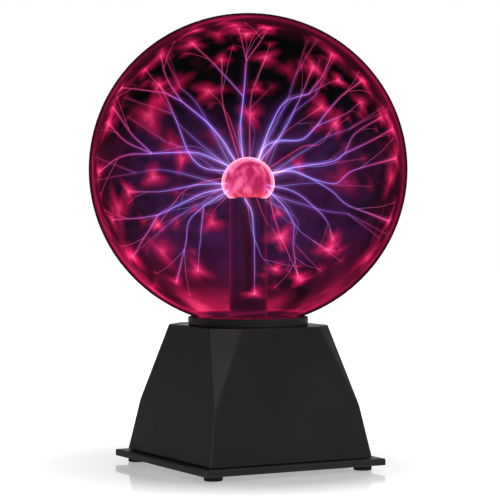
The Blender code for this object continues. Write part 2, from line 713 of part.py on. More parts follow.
def make_heat_sink():
    """The finned heat sink on the board, with the power transistor screwed to its plain side."""
    x, y = SINK_PLACE
    thickness, length, height = SINK_SIZE
    middle = ON_BOARD + height / 2
    sink = place("heat_sink", block_mesh("heat_sink", (SINK_SIZE, (x, y, middle))), ALUMINIUM)
    reach, fin = SINK_FIN
    pitch = (length - fin) / (SINK_FINS - 1)
    fin_x, first_y = x + (thickness + reach - ROOT) / 2, y - (length - fin) / 2
    fins = [((reach, fin, height), (fin_x, first_y + i * pitch, middle)) for i in range(SINK_FINS)]
    join(sink, block_mesh("fins", *fins))
    drill = rod_mesh("sink_hole", PILOT_RADIUS, -2 * thickness, 2 * thickness, steps=TINY_STEPS)
    cut(sink, drill, location=(x, y, ON_BOARD + TAB_HOLE_HEIGHT), rotation=SIDEWAYS)
    make_transistor(x - thickness / 2 - GAP, y)


def make_transistor(face, y):
    """The package stands on three legs, and its metal tab lies along the heat sink's face."""
    thick, width, height = TAB_SIZE
    tab = (TAB_SIZE, (face - thick / 2, y, ON_BOARD + PACKAGE_LOW + height / 2))
    transistor = place("power_transistor", block_mesh("power_transistor", tab), CHIP_BLACK)
    deep, package_height = PACKAGE_SIZE
    package_middle = face - deep / 2 - GAP / 2
    package_at = (package_middle, y, ON_BOARD + PACKAGE_LOW + package_height / 2)
    join(transistor, block_mesh("package", ((deep, width, package_height), package_at)))
    leg = (0.7 * MM, 0.9 * MM, PACKAGE_LOW)
    leg_height = ON_BOARD + PACKAGE_LOW / 2 + ROOT
    legs = [(leg, (package_middle, y + i * PIN_PITCH, leg_height)) for i in (-1, 0, 1)]
    join(transistor, block_mesh("legs", *legs))
    drill = rod_mesh("tab_hole", SCREW_HOLE_RADIUS, -2 * thick, 2 * thick, steps=TINY_STEPS)
    cut(transistor, drill, location=(face, y, ON_BOARD + TAB_HOLE_HEIGHT), rotation=SIDEWAYS)
    head = (face - thick - GAP, y, ON_BOARD + TAB_HOLE_HEIGHT)
    make_screw("transistor_screw", TAB_SCREW_LENGTH, *SMALL_HEAD, head, SIDEWAYS)


def make_capacitor(name, x, y, radius, height):
    crimp = 0.5 * MM
    profile = [
        (0, height),
        (radius - 0.8 * MM, height),
        (radius, height - 0.8 * MM),
        (radius, 3.4 * MM),
        (radius - crimp, 2.9 * MM),
        (radius, 2.4 * MM),
        (radius, 0),
        (0, 0),
    ]
    return turned(name, profile, CAPACITOR_BLUE, steps=SMALL_STEPS, location=(x, y, ON_BOARD))


def make_chip(name, x, y, pins):
    """A dual-row chip with its legs, its long side along X and a notch at one end."""
    width, height = CHIP_SIZE
    length = pins / 2 * PIN_PITCH - 0.4 * MM
    top = ON_BOARD + 0.8 * MM + height
    chip = place(name, block_mesh(name, ((length, width, height), (x, y, top - height / 2))), CHIP_BLACK)
    row_y = (CHIP_ROWS - CHIP_LEG[1]) / 2
    legs = []
    for i in range(pins // 2):
        leg_x = x + (i - (pins / 2 - 1) / 2) * PIN_PITCH
        legs += [(CHIP_LEG, (leg_x, y + side * row_y, ON_BOARD + CHIP_LEG[2] / 2)) for side in (-1, 1)]
    join(chip, block_mesh(name + "_legs", *legs))
    notch = [(x - length / 2, y)]
    return cut(chip, rod_mesh(name + "_notch", 0.9 * MM, top - 0.5 * MM, top + OVERRUN, notch, TINY_STEPS))


# ---- Controls in the back wall ---------------------------------------------------------------------------
SOCKET_RADIUS = 3.1 * MM
SOCKET_DEPTH = 9.5 * MM
PIN_RADIUS = 1.0 * MM
PIN_TAIL = 4.0 * MM
BARREL_RADIUS = 4.6 * MM
BARREL_LENGTH = 12.0 * MM
SOCKET_FLANGE = 6.2 * MM
SOCKET_FLANGE_HEIGHT = 1.4 * MM
NUT_RADIUS = 7.0 * MM
NUT_THICKNESS = 2.4 * MM

BEZEL = (15.0 * MM, 21.0 * MM, 1.8 * MM)
BEZEL_ROUNDING = 0.6 * MM
SWITCH_BODY = (12.8 * MM, 18.8 * MM, 15.5 * MM)
SWITCH_HOLLOW = (10.6 * MM, 16.4 * MM)
SWITCH_FLOOR = 2.0 * MM
ROCKER_WIDTH = 10.0 * MM
ROCKER_REACH = 7.8 * MM
ROCKER_VALLEY = 2.0 * MM  # height of the V's bottom over the axle
PIVOT_DEPTH = 0.9 * MM  # of the rocker's axle, below the housing's outer face
AXLE_RADIUS = 1.2 * MM
AXLE_CLEARANCE = 0.1 * MM
HUB_HALF = 2.3 * MM
HUB_DEPTH = 5.6 * MM
PLUNGER_RADIUS = 0.95 * MM
PLUNGER_TIP = 7.3 * MM  # below the axle
PLUNGER_HIGH = -4.0 * MM
POCKET_HIGH = -1.2 * MM
SPRING_RADIUS = 0.7 * MM
SPRING_WIRE = 0.18 * MM
LEVER_PIVOT = 9.1 * MM  # below the rocker's axle
LEVER_SIZE = (4.0 * MM, 12.0 * MM, 0.7 * MM)
TERMINAL_PITCH = 6.2 * MM
BLADE = (4.6 * MM, 0.8 * MM)  # width and thickness
BLADE_TAIL = 7.0 * MM  # behind the switch's body
BLADE_DROP = 1.2 * MM  # of the two outer blades below the contact's pivot

MICROPHONE_RADIUS = 3.0 * MM
MICROPHONE_HOLE = 1.3 * MM


def make_panel():
    """An empty on the back wall's outer face: local X runs to the right from behind, local Z outwards."""
    middle = (0, half_width(PANEL_HEIGHT), HOUSING_LOW + PANEL_HEIGHT)
    return empty("panel", middle, rotation=(math.pi / 2 - SLANT, 0, math.pi))


def cut_panel_openings(housing, panel):
    deep = 2 * HOUSING_WALL
    width, height, _ = SWITCH_BODY
    opening = (width + 2 * GAP, height + 2 * GAP, 2 * deep)
    cut(housing, block_mesh("switch_opening", (opening, (SWITCH_PLACE, 0, 0))), parent=panel)
    socket, sound = [(SOCKET_PLACE, 0)], [(MICROPHONE_PLACE, 0)]
    cut(housing, rod_mesh("socket_opening", BARREL_RADIUS + GAP, -deep, deep, socket), parent=panel)
    cut(housing, rod_mesh("sound_opening", MICROPHONE_HOLE, -deep, deep, sound, TINY_STEPS), parent=panel)


def make_power_socket(panel):
    placing = {"parent": panel, "location": (SOCKET_PLACE, 0, 0)}
    low = -BARREL_LENGTH
    profile = [
        (SOCKET_RADIUS, SOCKET_FLANGE_HEIGHT + GAP),
        (SOCKET_FLANGE - 0.5 * MM, SOCKET_FLANGE_HEIGHT + GAP),
        (SOCKET_FLANGE, SOCKET_FLANGE_HEIGHT + GAP - 0.5 * MM),
        (SOCKET_FLANGE, GAP),
        (BARREL_RADIUS, GAP),
        (BARREL_RADIUS, low),
        (PIN_RADIUS + GAP, low),
        (PIN_RADIUS + GAP, -SOCKET_DEPTH),
        (SOCKET_RADIUS, -SOCKET_DEPTH),
    ]
    turned("power_socket", profile, SWITCH_PLASTIC, steps=SMALL_STEPS, closed=True, **placing)
    tail = low - PIN_TAIL
    pin = [(0, 0), (0.6 * PIN_RADIUS, 0), (PIN_RADIUS, -0.6 * MM), (PIN_RADIUS, tail), (0, tail)]
    turned("power_socket_pin", pin, BRASS, steps=TINY_STEPS, **placing)
    nut_high = -HOUSING_WALL - GAP
    nut = rod_mesh("power_socket_nut", NUT_RADIUS, nut_high - NUT_THICKNESS, nut_high, steps=6)
    nut_object = place("power_socket_nut", nut, STEEL, **placing)
    bore = rod_mesh("nut_bore", BARREL_RADIUS + GAP, nut_high - 2 * NUT_THICKNESS, nut_high + OVERRUN)
    cut(nut_object, bore, **placing)


def make_microphone(panel):
    """A small capsule in a rubber boot behind a hole, for the switch's sound position."""
    placing = {"parent": panel, "location": (MICROPHONE_PLACE, 0, 0)}
    high = -HOUSING_WALL - GAP
    boot = [
        (MICROPHONE_HOLE, high),
        (MICROPHONE_RADIUS + 1.6 * MM, high),
        (MICROPHONE_RADIUS + 1.6 * MM, high - 5 * MM),
        (MICROPHONE_RADIUS + GAP, high - 5 * MM),
        (MICROPHONE_RADIUS + GAP, high - 1 * MM),
        (MICROPHONE_HOLE, high - 1 * MM),
    ]
    turned("microphone_boot", boot, RUBBER, steps=SMALL_STEPS, closed=True, **placing)
    top, low = high - 1 * MM - GAP, high - 5.5 * MM
    capsule = [(0, top), (MICROPHONE_RADIUS, top), (MICROPHONE_RADIUS, low), (0, low)]
    turned("microphone", capsule, ALUMINIUM, steps=SMALL_STEPS, **placing)


def rocker_outline():
    """The rocker's side view, (along the panel, outwards) from its axle: round ends and a shallow V."""
    angles = [math.radians(a) for a in (-18, -8, 4, 16, 27)]
    end = [(ROCKER_REACH * math.cos(a), ROCKER_REACH * math.sin(a)) for a in angles]
    right = [(HUB_HALF, -HUB_DEPTH), (HUB_HALF + 0.6 * MM, -0.55 * HUB_DEPTH), *end]
    left = [(-y, z) for y, z in reversed(right)]
    return [*right, (0, ROCKER_VALLEY), *left]


def across_rod(name, radius, half_length):
    """A rod along X about the origin."""
    mesh = rod_mesh(name, radius, -half_length, half_length, steps=TINY_STEPS)
    mesh.transform(Matrix.Rotation(math.pi / 2, 4, "Y"))
    return mesh


def make_switch(panel):
    """The three-position rocker switch: ON at rest, OFF in the middle, sound at the other end."""
    body_low = make_switch_frame(panel)
    axle = empty("rocker_axle", (SWITCH_PLACE, 0, -PIVOT_DEPTH), (-ROCKER_TILT, 0, 0), panel)
    make_rocker(axle)
    fulcrum_place = (SWITCH_PLACE, 0, -PIVOT_DEPTH - LEVER_PIVOT)
    fulcrum = empty("lever_fulcrum", fulcrum_place, (LEVER_TILT, 0, 0), panel)
    lever = block_mesh("switch_contact_lever", (LEVER_SIZE, (0, 0, LEVER_SIZE[2] / 2 + GAP)))
    place("switch_contact_lever", lever, BRASS, fulcrum)
    make_terminals(panel, body_low)


def make_switch_frame(panel):
    """The bezel and the open box behind it. Returns the height of the box's outer floor."""
    placing = {"parent": panel, "location": (SWITCH_PLACE, 0, 0)}
    width, height, depth = SWITCH_BODY
    bezel_middle = GAP + BEZEL[2] / 2
    body_low = bezel_middle - depth
    bezel = block_mesh("switch_frame", (BEZEL, (0, 0, bezel_middle)))
    frame = place("switch_frame", bezel, SWITCH_PLASTIC, **placing)
    bevel(frame, BEZEL_ROUNDING)
    join(frame, block_mesh("switch_body", (SWITCH_BODY, (0, 0, bezel_middle - depth / 2))), **placing)
    hollow_low, hollow_high = body_low + SWITCH_FLOOR, bezel_middle + BEZEL[2]
    hollow = (*SWITCH_HOLLOW, hollow_high - hollow_low)
    cut(frame, block_mesh("switch_hollow", (hollow, (0, 0, (hollow_high + hollow_low) / 2))), **placing)
    at_axle = {"parent": panel, "location": (SWITCH_PLACE, 0, -PIVOT_DEPTH)}
    cut(frame, across_rod("axle_hole", AXLE_RADIUS + AXLE_CLEARANCE, width), **at_axle)
    slot = (BLADE[0] + 2 * GAP, BLADE[1] + 2 * GAP, 4 * SWITCH_FLOOR)
    slots = [(slot, (0, i * TERMINAL_PITCH, body_low)) for i in (-1, 0, 1)]
    cut(frame, block_mesh("blade_slots", *slots), **placing)
    return body_low


def make_rocker(axle):
    """The rocker with its axle stubs, and the sprung plunger in its hub that presses the contact over."""
    side_view = Matrix(((0, 0, 1, 0), (1, 0, 0, 0), (0, 1, 0, 0), (0, 0, 0, 1)))
    body = slab_mesh("switch_rocker", rocker_outline(), ROCKER_WIDTH, side_view)
    rocker = place("switch_rocker", body, SWITCH_PLASTIC, axle)
    join(rocker, across_rod("axle_stubs", AXLE_RADIUS, SWITCH_BODY[0] / 2 - GAP), parent=axle)
    pocket_low, radius = -HUB_DEPTH - OVERRUN, PLUNGER_RADIUS
    pocket = rod_mesh("plunger_pocket", radius + GAP, pocket_low, POCKET_HIGH, steps=TINY_STEPS)
    cut(rocker, pocket, parent=axle)
    plunger = [(0, PLUNGER_HIGH), (radius, PLUNGER_HIGH), (radius, radius - PLUNGER_TIP)]
    plunger += bend(plunger[-1], (radius, -PLUNGER_TIP), (0, -PLUNGER_TIP))
    turned("switch_plunger", plunger, STEEL, steps=TINY_STEPS, parent=axle)
    spring_low, spring_high = PLUNGER_HIGH + 2 * SPRING_WIRE, POCKET_HIGH - 2 * SPRING_WIRE
    make_spring("switch_spring", SPRING_RADIUS, SPRING_WIRE, spring_low, spring_high, 4, axle)


def make_spring(name, radius, wire_radius, low, high, turns, parent):
    steps = 6 * turns
    curve = bpy.data.curves.new(name, "CURVE")
    curve.dimensions = "3D"
    curve.bevel_depth = wire_radius
    curve.bevel_resolution = 0
    curve.use_fill_caps = True
    spline = curve.splines.new("POLY")
    spline.points.add(steps)
    for i, point in enumerate(spline.points):
        angle = 2 * math.pi * turns * i / steps
        point.co = (radius * math.cos(angle), radius * math.sin(angle), low + (high - low) * i / steps, 1)
    return place(name, curve, STEEL, parent)


def make_terminals(panel, body_low):
    """Three blades through the switch's floor. The middle one carries the see-saw contact."""
    tail = body_low - BLADE_TAIL
    fulcrum = -PIVOT_DEPTH - LEVER_PIVOT
    tops = {"on": fulcrum - BLADE_DROP, "common": fulcrum, "sound": fulcrum - BLADE_DROP}
    for i, (label, top) in enumerate(tops.items()):
        blade = ((*BLADE, top - tail), (0, (i - 1) * TERMINAL_PITCH, (top + tail) / 2))
        place(f"switch_terminal_{label}", block_mesh(label, blade), BRASS, panel, (SWITCH_PLACE, 0, 0))


# ---- Leads -----------------------------------------------------------------------------------------------
THIN_LEAD = 0.8 * MM  # radius
PAD_ROW = 25.0 * MM  # how far behind the middle the pads for the socket's leads lie


def panel_point(panel, x, y, z):
    """A point given on the panel, in the object's own frame."""
    bpy.context.view_layer.update()
    return panel.matrix_world @ Vector((x, y, z))


def thin_lead(name, end, pad_x, pad_y, colour, sag):
    """A lead from behind a terminal to a pad on the board. It stops just short of both."""
    pad = Vector((pad_x, pad_y, ON_BOARD + THIN_LEAD))
    rise = end + Vector((0, -3.5 * MM, -sag))
    wire(name, [end, rise, (rise + pad) / 2 + Vector((0, -sag, 0)), pad], THIN_LEAD, colour)


def make_leads(panel):
    x, y = CORE_PLACE
    coil_top = ON_BOARD + CORE_SIZE[2] - CORE_YOKE
    beside_coil = y + COIL_OUTER + LEAD_RADIUS + 2 * GAP
    path = [
        (x + 2 * MM, beside_coil, coil_top - 8 * MM),
        (x + 6 * MM, beside_coil + 3 * MM, coil_top + 4 * MM),
        (0, 2 * MM, coil_top + 22 * MM),
        (0, 0, coil_top + 36 * MM),
        (0, 0, BULB_MIDDLE - 30 * MM),
        (0, 0, BULB_MIDDLE + 4 * MM),
    ]
    wire("high_voltage_lead", path, LEAD_RADIUS, RED_WIRE, steps=20)

    behind_blades = -SWITCH_BODY[2] - BLADE_TAIL
    colours = {"on": RED_WIRE, "common": BLACK_WIRE, "sound": WHITE_WIRE}
    for i, (label, colour) in enumerate(colours.items()):
        end = panel_point(panel, SWITCH_PLACE, (i - 1) * TERMINAL_PITCH, behind_blades)
        pad_x = -SWITCH_PLACE - 8 * MM - i * 6 * MM
        thin_lead(f"switch_lead_{label}", end, pad_x, PAD_ROW - 8 * MM, colour, 0)

    behind_pin = panel_point(panel, SOCKET_PLACE, 0, -BARREL_LENGTH - PIN_TAIL - 1.3 * MM)
    thin_lead("socket_lead_positive", behind_pin, -SOCKET_PLACE - 4 * MM, PAD_ROW, RED_WIRE, 2 * MM)
    behind_barrel = panel_point(panel, SOCKET_PLACE, -3.2 * MM, -BARREL_LENGTH - 1.3 * MM)
    thin_lead("socket_lead_negative", behind_barrel, -SOCKET_PLACE + 3 * MM, PAD_ROW, BLACK_WIRE, 2 * MM)
    behind_capsule = panel_point(panel, MICROPHONE_PLACE, 0, -HOUSING_WALL - 7 * MM)
    thin_lead("microphone_lead", behind_capsule, -MICROPHONE_PLACE, PAD_ROW + 6 * MM, WHITE_WIRE, 1 * MM)


# ---- Everything together ---------------------------------------------------------------------------------
def build():
    panel = make_panel()
    make_housing(panel)
    make_bottom_plate()
    make_feet()
    make_plate_screws()
    make_collar()
    make_gasket()
    make_retainer()
    make_globe()
    make_stem()
    make_exhaust_tip()
    make_electrode_liner()
    make_stem_plug()
    make_board()
    make_flyback()
    make_heat_sink()
    make_capacitor("input_capacitor", 12 * MM, -29 * MM, 5 * MM, 16 * MM)
    make_capacitor("output_capacitor", -4 * MM, -30 * MM, 4 * MM, 12 * MM)
    make_chip("timer_chip", -27 * MM, -29 * MM, 8)
    make_chip("sound_chip", -26 * MM, 8 * MM, 8)
    make_power_socket(panel)
    make_microphone(panel)
    make_switch(panel)
    make_leads(panel)


build()
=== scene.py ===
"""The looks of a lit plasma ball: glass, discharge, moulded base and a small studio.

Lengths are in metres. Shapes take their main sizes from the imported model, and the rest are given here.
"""

import json
import math
import random

import bmesh
import bpy
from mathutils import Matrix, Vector, noise


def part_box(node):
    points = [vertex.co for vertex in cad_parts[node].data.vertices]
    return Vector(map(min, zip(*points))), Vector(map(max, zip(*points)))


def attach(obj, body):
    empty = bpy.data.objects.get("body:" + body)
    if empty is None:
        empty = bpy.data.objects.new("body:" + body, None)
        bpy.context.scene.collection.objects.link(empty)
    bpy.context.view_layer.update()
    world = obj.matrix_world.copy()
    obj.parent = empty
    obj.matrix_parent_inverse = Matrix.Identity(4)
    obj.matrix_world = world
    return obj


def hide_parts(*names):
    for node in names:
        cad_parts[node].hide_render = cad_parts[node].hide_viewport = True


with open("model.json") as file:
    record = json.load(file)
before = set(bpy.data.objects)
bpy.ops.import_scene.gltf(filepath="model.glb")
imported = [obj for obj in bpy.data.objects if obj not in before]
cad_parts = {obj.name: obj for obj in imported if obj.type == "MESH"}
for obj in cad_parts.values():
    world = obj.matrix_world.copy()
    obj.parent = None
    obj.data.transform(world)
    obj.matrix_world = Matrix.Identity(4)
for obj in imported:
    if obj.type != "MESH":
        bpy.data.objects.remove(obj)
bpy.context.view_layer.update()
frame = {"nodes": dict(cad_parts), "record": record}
SLOTS = {part["node"]: part["material_slot"] for part in frame["record"]["subparts"]}

MM = 0.001
SEED = 7
BASE = "base"
noise.seed_set(SEED)  # left alone, Blender's noise vectors start from the clock

# ---- Sizes read from the imported model, and sizes given here ----
GLOBE_LOW, GLOBE_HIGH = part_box("glass_globe")
STEM_LOW, STEM_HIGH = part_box("glass_stem")
COLLAR_LOW, COLLAR_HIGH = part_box("collar_ring")
HOUSING_LOW, HOUSING_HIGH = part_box("base_housing")

GLOBE_RADIUS = (GLOBE_HIGH.x - GLOBE_LOW.x) / 2
GLOBE_WALL = 2.0 * MM
GLOBE_FLATNESS = 0.98
GLOBE_MIDDLE = GLOBE_HIGH.z - GLOBE_RADIUS * GLOBE_FLATNESS
NECK_RADIUS = 33.5 * MM
INNER_RADIUS = GLOBE_RADIUS - GLOBE_WALL
BULB_RADIUS = 17.0 * MM
BULB_LOWER_HEIGHT = 13.25 * MM
BULB_MIDDLE = STEM_HIGH.z - BULB_RADIUS
TUBE_RADIUS = 12.0 * MM
TUBE_WALL = 1.3 * MM
FLARE_LOW = STEM_LOW.z
FLARE_THICKNESS = 1.6 * MM
FLARE_HIGH = FLARE_LOW + FLARE_THICKNESS
CENTRE = Vector((0, 0, GLOBE_MIDDLE))
BULB_CENTRE = Vector((0, 0, BULB_MIDDLE))

# ---- The view the photograph was taken from ----
VIEW_AZIMUTH = math.radians(-28.7)
VIEW_HEIGHT = math.radians(1.3)
VIEW_DISTANCE = 1.3
VIEW_TARGET = Vector((0, 0, 0.1378))
FOCAL_MM = 146.7
SENSOR_MM = 36.0
SIDE_SHIFT = 0.0038
TOWARD = Vector((math.sin(VIEW_AZIMUTH), -math.cos(VIEW_AZIMUTH), 0))
ACROSS = Vector((math.cos(VIEW_AZIMUTH), math.sin(VIEW_AZIMUTH), 0))
UP = Vector((0, 0, 1))


# ---- Node helpers ----
def new_tree(name):
    material = bpy.data.materials.new(name)
    material.use_nodes = True
    material.node_tree.nodes.clear()
    return material, material.node_tree


def add(tree, kind, inputs=None, **settings):
    """A shader node with its settings. Its inputs are values or sockets to link from."""
    made = tree.nodes.new("ShaderNode" + kind)
    for key, value in settings.items():
        setattr(made, key, value)
    for key, value in (inputs or {}).items():
        if isinstance(value, bpy.types.NodeSocket):
            tree.links.new(value, made.inputs[key])
        else:
            made.inputs[key].default_value = value
    return made


def math_node(tree, operation, a, b=0.0):
    return add(tree, "Math", {0: a, 1: b}, operation=operation).outputs[0]


def times(tree, a, b):
    return math_node(tree, "MULTIPLY", a, b)


def plus(tree, a, b):
    return math_node(tree, "ADD", a, b)


def rgba(colour):
    """A colour as a node takes it. It may be one number, for grey, and a socket stays as it is."""
    if isinstance(colour, bpy.types.NodeSocket):
        return colour
    return (colour, colour, colour, 1) if isinstance(colour, (int, float)) else (*colour, 1)


def ramp(tree, factor, *stops):
    """A colour ramp with (position, colour) stops."""
    made = add(tree, "ValToRGB", {"Fac": factor})
    elements = made.color_ramp.elements
    while len(elements) < len(stops):
        elements.new(0.5)
    for element, (position, colour) in zip(elements, stops):
        element.position = position
        element.color = rgba(colour)
    return made.outputs["Color"]


def mix_colours(tree, factor, a, b, mode="MIX"):
    amount, first, second, colour_out = 0, 6, 7, 2  # the mix node's sockets for colours
    inputs = {amount: factor, first: rgba(a), second: rgba(b)}
    return add(tree, "Mix", inputs, data_type="RGBA", blend_type=mode).outputs[colour_out]


def texture(tree, where, scale, detail=3.0, distortion=0.0, roughness=0.5):
    """Soft noise from 0 to 1, with scale features a metre."""
    inputs = {"Vector": where, "Scale": scale, "Detail": detail, "Distortion": distortion}
    inputs["Roughness"] = roughness
    return add(tree, "TexNoise", inputs).outputs["Fac"]


def position(tree):
    return add(tree, "TexCoord").outputs["Object"]


def scaled(tree, where, factors):
    return add(tree, "VectorMath", {0: where, 1: factors}, operation="MULTIPLY").outputs[0]


def height_of(tree, where):
    return add(tree, "SeparateXYZ", {0: where}).outputs["Z"]


def end_material(material, surface):
    """Ends a material. None of them is sampled as a lamp, so the glowing ones stay free of noise."""
    add(material.node_tree, "OutputMaterial", {"Surface": surface})
    material.cycles.emission_sampling = "NONE"
    return material


def end_solid(material, colour, roughness, relief, depth, **others):
    """Ends a material as a solid surface. relief is (height, strength), and others are more inputs."""
    height, strength = relief
    tree = material.node_tree
    bump = add(tree, "Bump", {"Height": height, "Strength": strength, "Distance": depth})
    inputs = {"Base Color": colour, "Roughness": roughness, "Normal": bump.outputs[0]}
    inputs |= {name.replace("_", " "): value for name, value in others.items()}
    return end_material(material, add(tree, "BsdfPrincipled", inputs).outputs[0])


# ---- Solid materials ----
MOTTLE_SCALE = 45.0
ROUGHNESS_SPREAD = 0.06
GRAIN_DEPTH = 0.08 * MM


def edge_highlight_mask(tree, radius):
    """How close a point is to a convex or concave edge, from 0 to 1: where the painted highlight goes."""
    rounded = add(tree, "Bevel", {"Radius": radius}, samples=4).outputs[0]
    flat = add(tree, "NewGeometry").outputs["True Normal"]
    same = add(tree, "VectorMath", {0: rounded, 1: flat}, operation="DOT_PRODUCT").outputs["Value"]
    return ramp(tree, same, (0.90, 1), (0.995, 0))


def solid(
    name, colour, roughness, metallic=0.0, specular=0.5, coat=0.0, mottle=0.25, grain=0.12,
    grain_scale=1800.0, stretch=(1, 1, 1), edge=0.6 * MM, wear=0.5, wear_colour=None,
):
    """Mottled colour, uneven roughness, fine grain and a painted highlight along edges.

    stretch draws the grain out along an axis, for brushed or drawn metal.
    """
    material, tree = new_tree(name)
    where = position(tree)
    clouds = texture(tree, where, MOTTLE_SCALE, 5.0, 0.4, 0.6)
    fine = texture(tree, scaled(tree, where, stretch), grain_scale, 2.0)
    dark = [c * (1 - mottle) for c in colour]
    light = [min(1.0, c * (1 + mottle)) for c in colour]
    base = ramp(tree, clouds, (0.3, dark), (0.7, light))
    base = mix_colours(tree, times(tree, fine, 0.35), base, light)
    # Painted highlight: the colour is lightened close to edges.
    highlit_edges = times(tree, edge_highlight_mask(tree, edge), wear)
    base = mix_colours(tree, highlit_edges, base, wear_colour or [min(1.0, 2.2 * c + 0.02) for c in colour])
    smoother, rougher = max(0.0, roughness - ROUGHNESS_SPREAD), min(1.0, roughness + ROUGHNESS_SPREAD)
    rough = ramp(tree, clouds, (0.3, smoother), (0.7, rougher))
    inputs = {"Metallic": metallic, "Specular_IOR_Level": specular, "Coat_Weight": coat}
    return end_solid(material, base, rough, (fine, grain), GRAIN_DEPTH, **inputs)


def solid_materials():
    """The finish of every slot in the record that is a solid, opaque material."""
    # The satin plastic's edges get a strong painted highlight in a lighter grey.
    satin = {"specular": 0.3, "grain": 0.08, "mottle": 0.08, "edge": 1.0 * MM, "wear": 0.8}
    satin["wear_colour"] = (0.075, 0.072, 0.076)
    gloss = {"specular": 0.6, "grain": 0.03}
    extruded = {"mottle": 0.1, "stretch": (1, 1, 0.03)}
    return {
        "base_plastic": solid("satin_black_plastic", (0.017, 0.0155, 0.017), 0.42, **satin),
        "control_plastic": solid("switch_black", (0.014, 0.014, 0.015), 0.22, **gloss),
        "rubber": solid("black_rubber", (0.014, 0.014, 0.014), 0.72, grain=0.3, specular=0.3),
        "silicone": solid("grey_silicone", (0.42, 0.42, 0.43), 0.6, grain=0.15),
        "steel": solid("zinc_steel", (0.55, 0.55, 0.57), 0.32, 1.0, mottle=0.15, grain=0.1),
        "brass": solid("brass", (0.72, 0.52, 0.22), 0.3, 1.0, mottle=0.2, stretch=(1, 1, 0.05)),
        "aluminium": solid("aluminium", (0.7, 0.71, 0.73), 0.38, 1.0, **extruded),
        "ferrite": solid("ferrite", (0.045, 0.045, 0.05), 0.65, grain=0.4, grain_scale=2600.0),
        "coil": winding_tape(),
        "board": circuit_board(),
        "chip": solid("chip_compound", (0.02, 0.02, 0.021), 0.5, grain=0.25, grain_scale=3500.0),
        "capacitor": solid("capacitor_sleeve", (0.02, 0.045, 0.18), 0.3, coat=0.3, grain=0.05),
        "red_wire": solid("red_insulation", (0.5, 0.02, 0.02), 0.42, grain=0.08),
        "black_wire": solid("black_insulation", (0.014, 0.014, 0.014), 0.42, grain=0.08),
        "white_wire": solid("white_insulation", (0.75, 0.75, 0.72), 0.42, grain=0.08),
    }


def winding_tape():
    """Amber tape wound in level turns, which show as fine ridges."""
    material, tree = new_tree("winding_tape")
    where = position(tree)
    waves = {"Vector": where, "Scale": 260.0, "Distortion": 0.6}
    turns = add(tree, "TexWave", waves, bands_direction="Z").outputs["Fac"]
    colour = ramp(tree, turns, (0.2, (0.42, 0.24, 0.02)), (0.8, (0.78, 0.5, 0.06)))
    return end_solid(material, colour, 0.34, (turns, 0.3), 0.2 * MM, Coat_Weight=0.3)


def circuit_board():
    """Green solder mask over straight tracks, with the laminate's weave below."""
    material, tree = new_tree("solder_mask")
    where = position(tree)
    cells = {"Vector": where, "Scale": 42.0, "Mortar Size": 0.09, "Mortar Smooth": 0.1}
    gaps = add(tree, "TexBrick", cells).outputs["Fac"]
    weave = texture(tree, where, 900.0, 2.0)
    tracks = mix_colours(tree, gaps, (0.018, 0.12, 0.045), (0.035, 0.2, 0.075))
    colour = mix_colours(tree, times(tree, weave, 0.4), tracks, (0.05, 0.24, 0.09))
    return end_solid(material, colour, 0.33, (gaps, 0.4), 0.05 * MM)


# ---- Glass and light ----
BLACK = (0.0, 0.0, 0.0)
NIGHT = (0.0025, 0.0006, 0.0035)
SMOKE_OFFSET = (9.0, 5.0, 4.0)  # picks where in the noise the smoke is cut from
DEEP_CRIMSON = (0.085, 0.002, 0.016)
CRIMSON = (0.42, 0.008, 0.062)
HOT_PINK = (0.95, 0.045, 0.17)
PALE_PINK = (1.0, 0.42, 0.52)
# A painted reflection, added as glow to the outer glass.
PAINTED_ROOM_REFLECTION = (0.0016, 0.0022, 0.0020)  # the white room, mirrored evenly and faintly by the glass


def facing(tree):
    """0 where a surface is seen head on, 1 where it is seen edge on."""
    return add(tree, "LayerWeight", {"Blend": 0.5}).outputs["Facing"]


def behind(tree):
    return add(tree, "NewGeometry").outputs["Backfacing"]


def glow(tree, colour, strength=1.0):
    return add(tree, "Emission", {"Color": rgba(colour), "Strength": strength}).outputs[0]


def clear(tree):
    return add(tree, "BsdfTransparent").outputs[0]


def add_shaders(tree, a, b):
    return add(tree, "AddShader", {0: a, 1: b}).outputs[0]


def over(tree, light):
    """Light added to whatever is seen through the surface."""
    return add_shaders(tree, clear(tree), light)


def mix_shaders(tree, factor, a, b):
    return add(tree, "MixShader", {0: factor, 1: a, 2: b}).outputs[0]


def smoke(tree, where, scale, low, high):
    clouds = texture(tree, where, scale, 2.5, 1.0, 0.5)
    return ramp(tree, clouds, (low, 0), (high, 1))


def wisps(tree, where, scale, width):
    """Thin bright lines along the places where a distorted noise crosses its middle."""
    field = texture(tree, where, scale, 2.0, 2.2, 0.45)
    offset = math_node(tree, "ABSOLUTE", math_node(tree, "SUBTRACT", field, 0.5))
    return ramp(tree, offset, (0, 1), (width, 0))


def gas_colour(tree, light):
    """The gas's colour for an amount of light: crimson where it is faint, pink where it is strong."""
    return ramp(tree, light, (0, BLACK), (0.25, DEEP_CRIMSON), (0.7, CRIMSON), (1, HOT_PINK))


def outer_glass():
    """The globe's outer skin: clear, with a faint painted reflection, a lit line in the glass near its rim,
    and a dark far side.
    """
    material, tree = new_tree("globe_outer_glass")
    in_wall = ramp(tree, facing(tree), (0.72, 0), (0.79, 0.6), (0.84, 0.4), (0.89, 0))
    patches = ramp(tree, texture(tree, position(tree), 14.0, 2.0), (0.35, 0.3), (0.65, 1))
    light = gas_colour(tree, times(tree, in_wall, patches))
    near = over(tree, glow(tree, mix_colours(tree, 1.0, light, PAINTED_ROOM_REFLECTION, "ADD")))
    far = glow(tree, DEEP_CRIMSON, 0.12)
    return end_material(material, mix_shaders(tree, behind(tree), near, far))


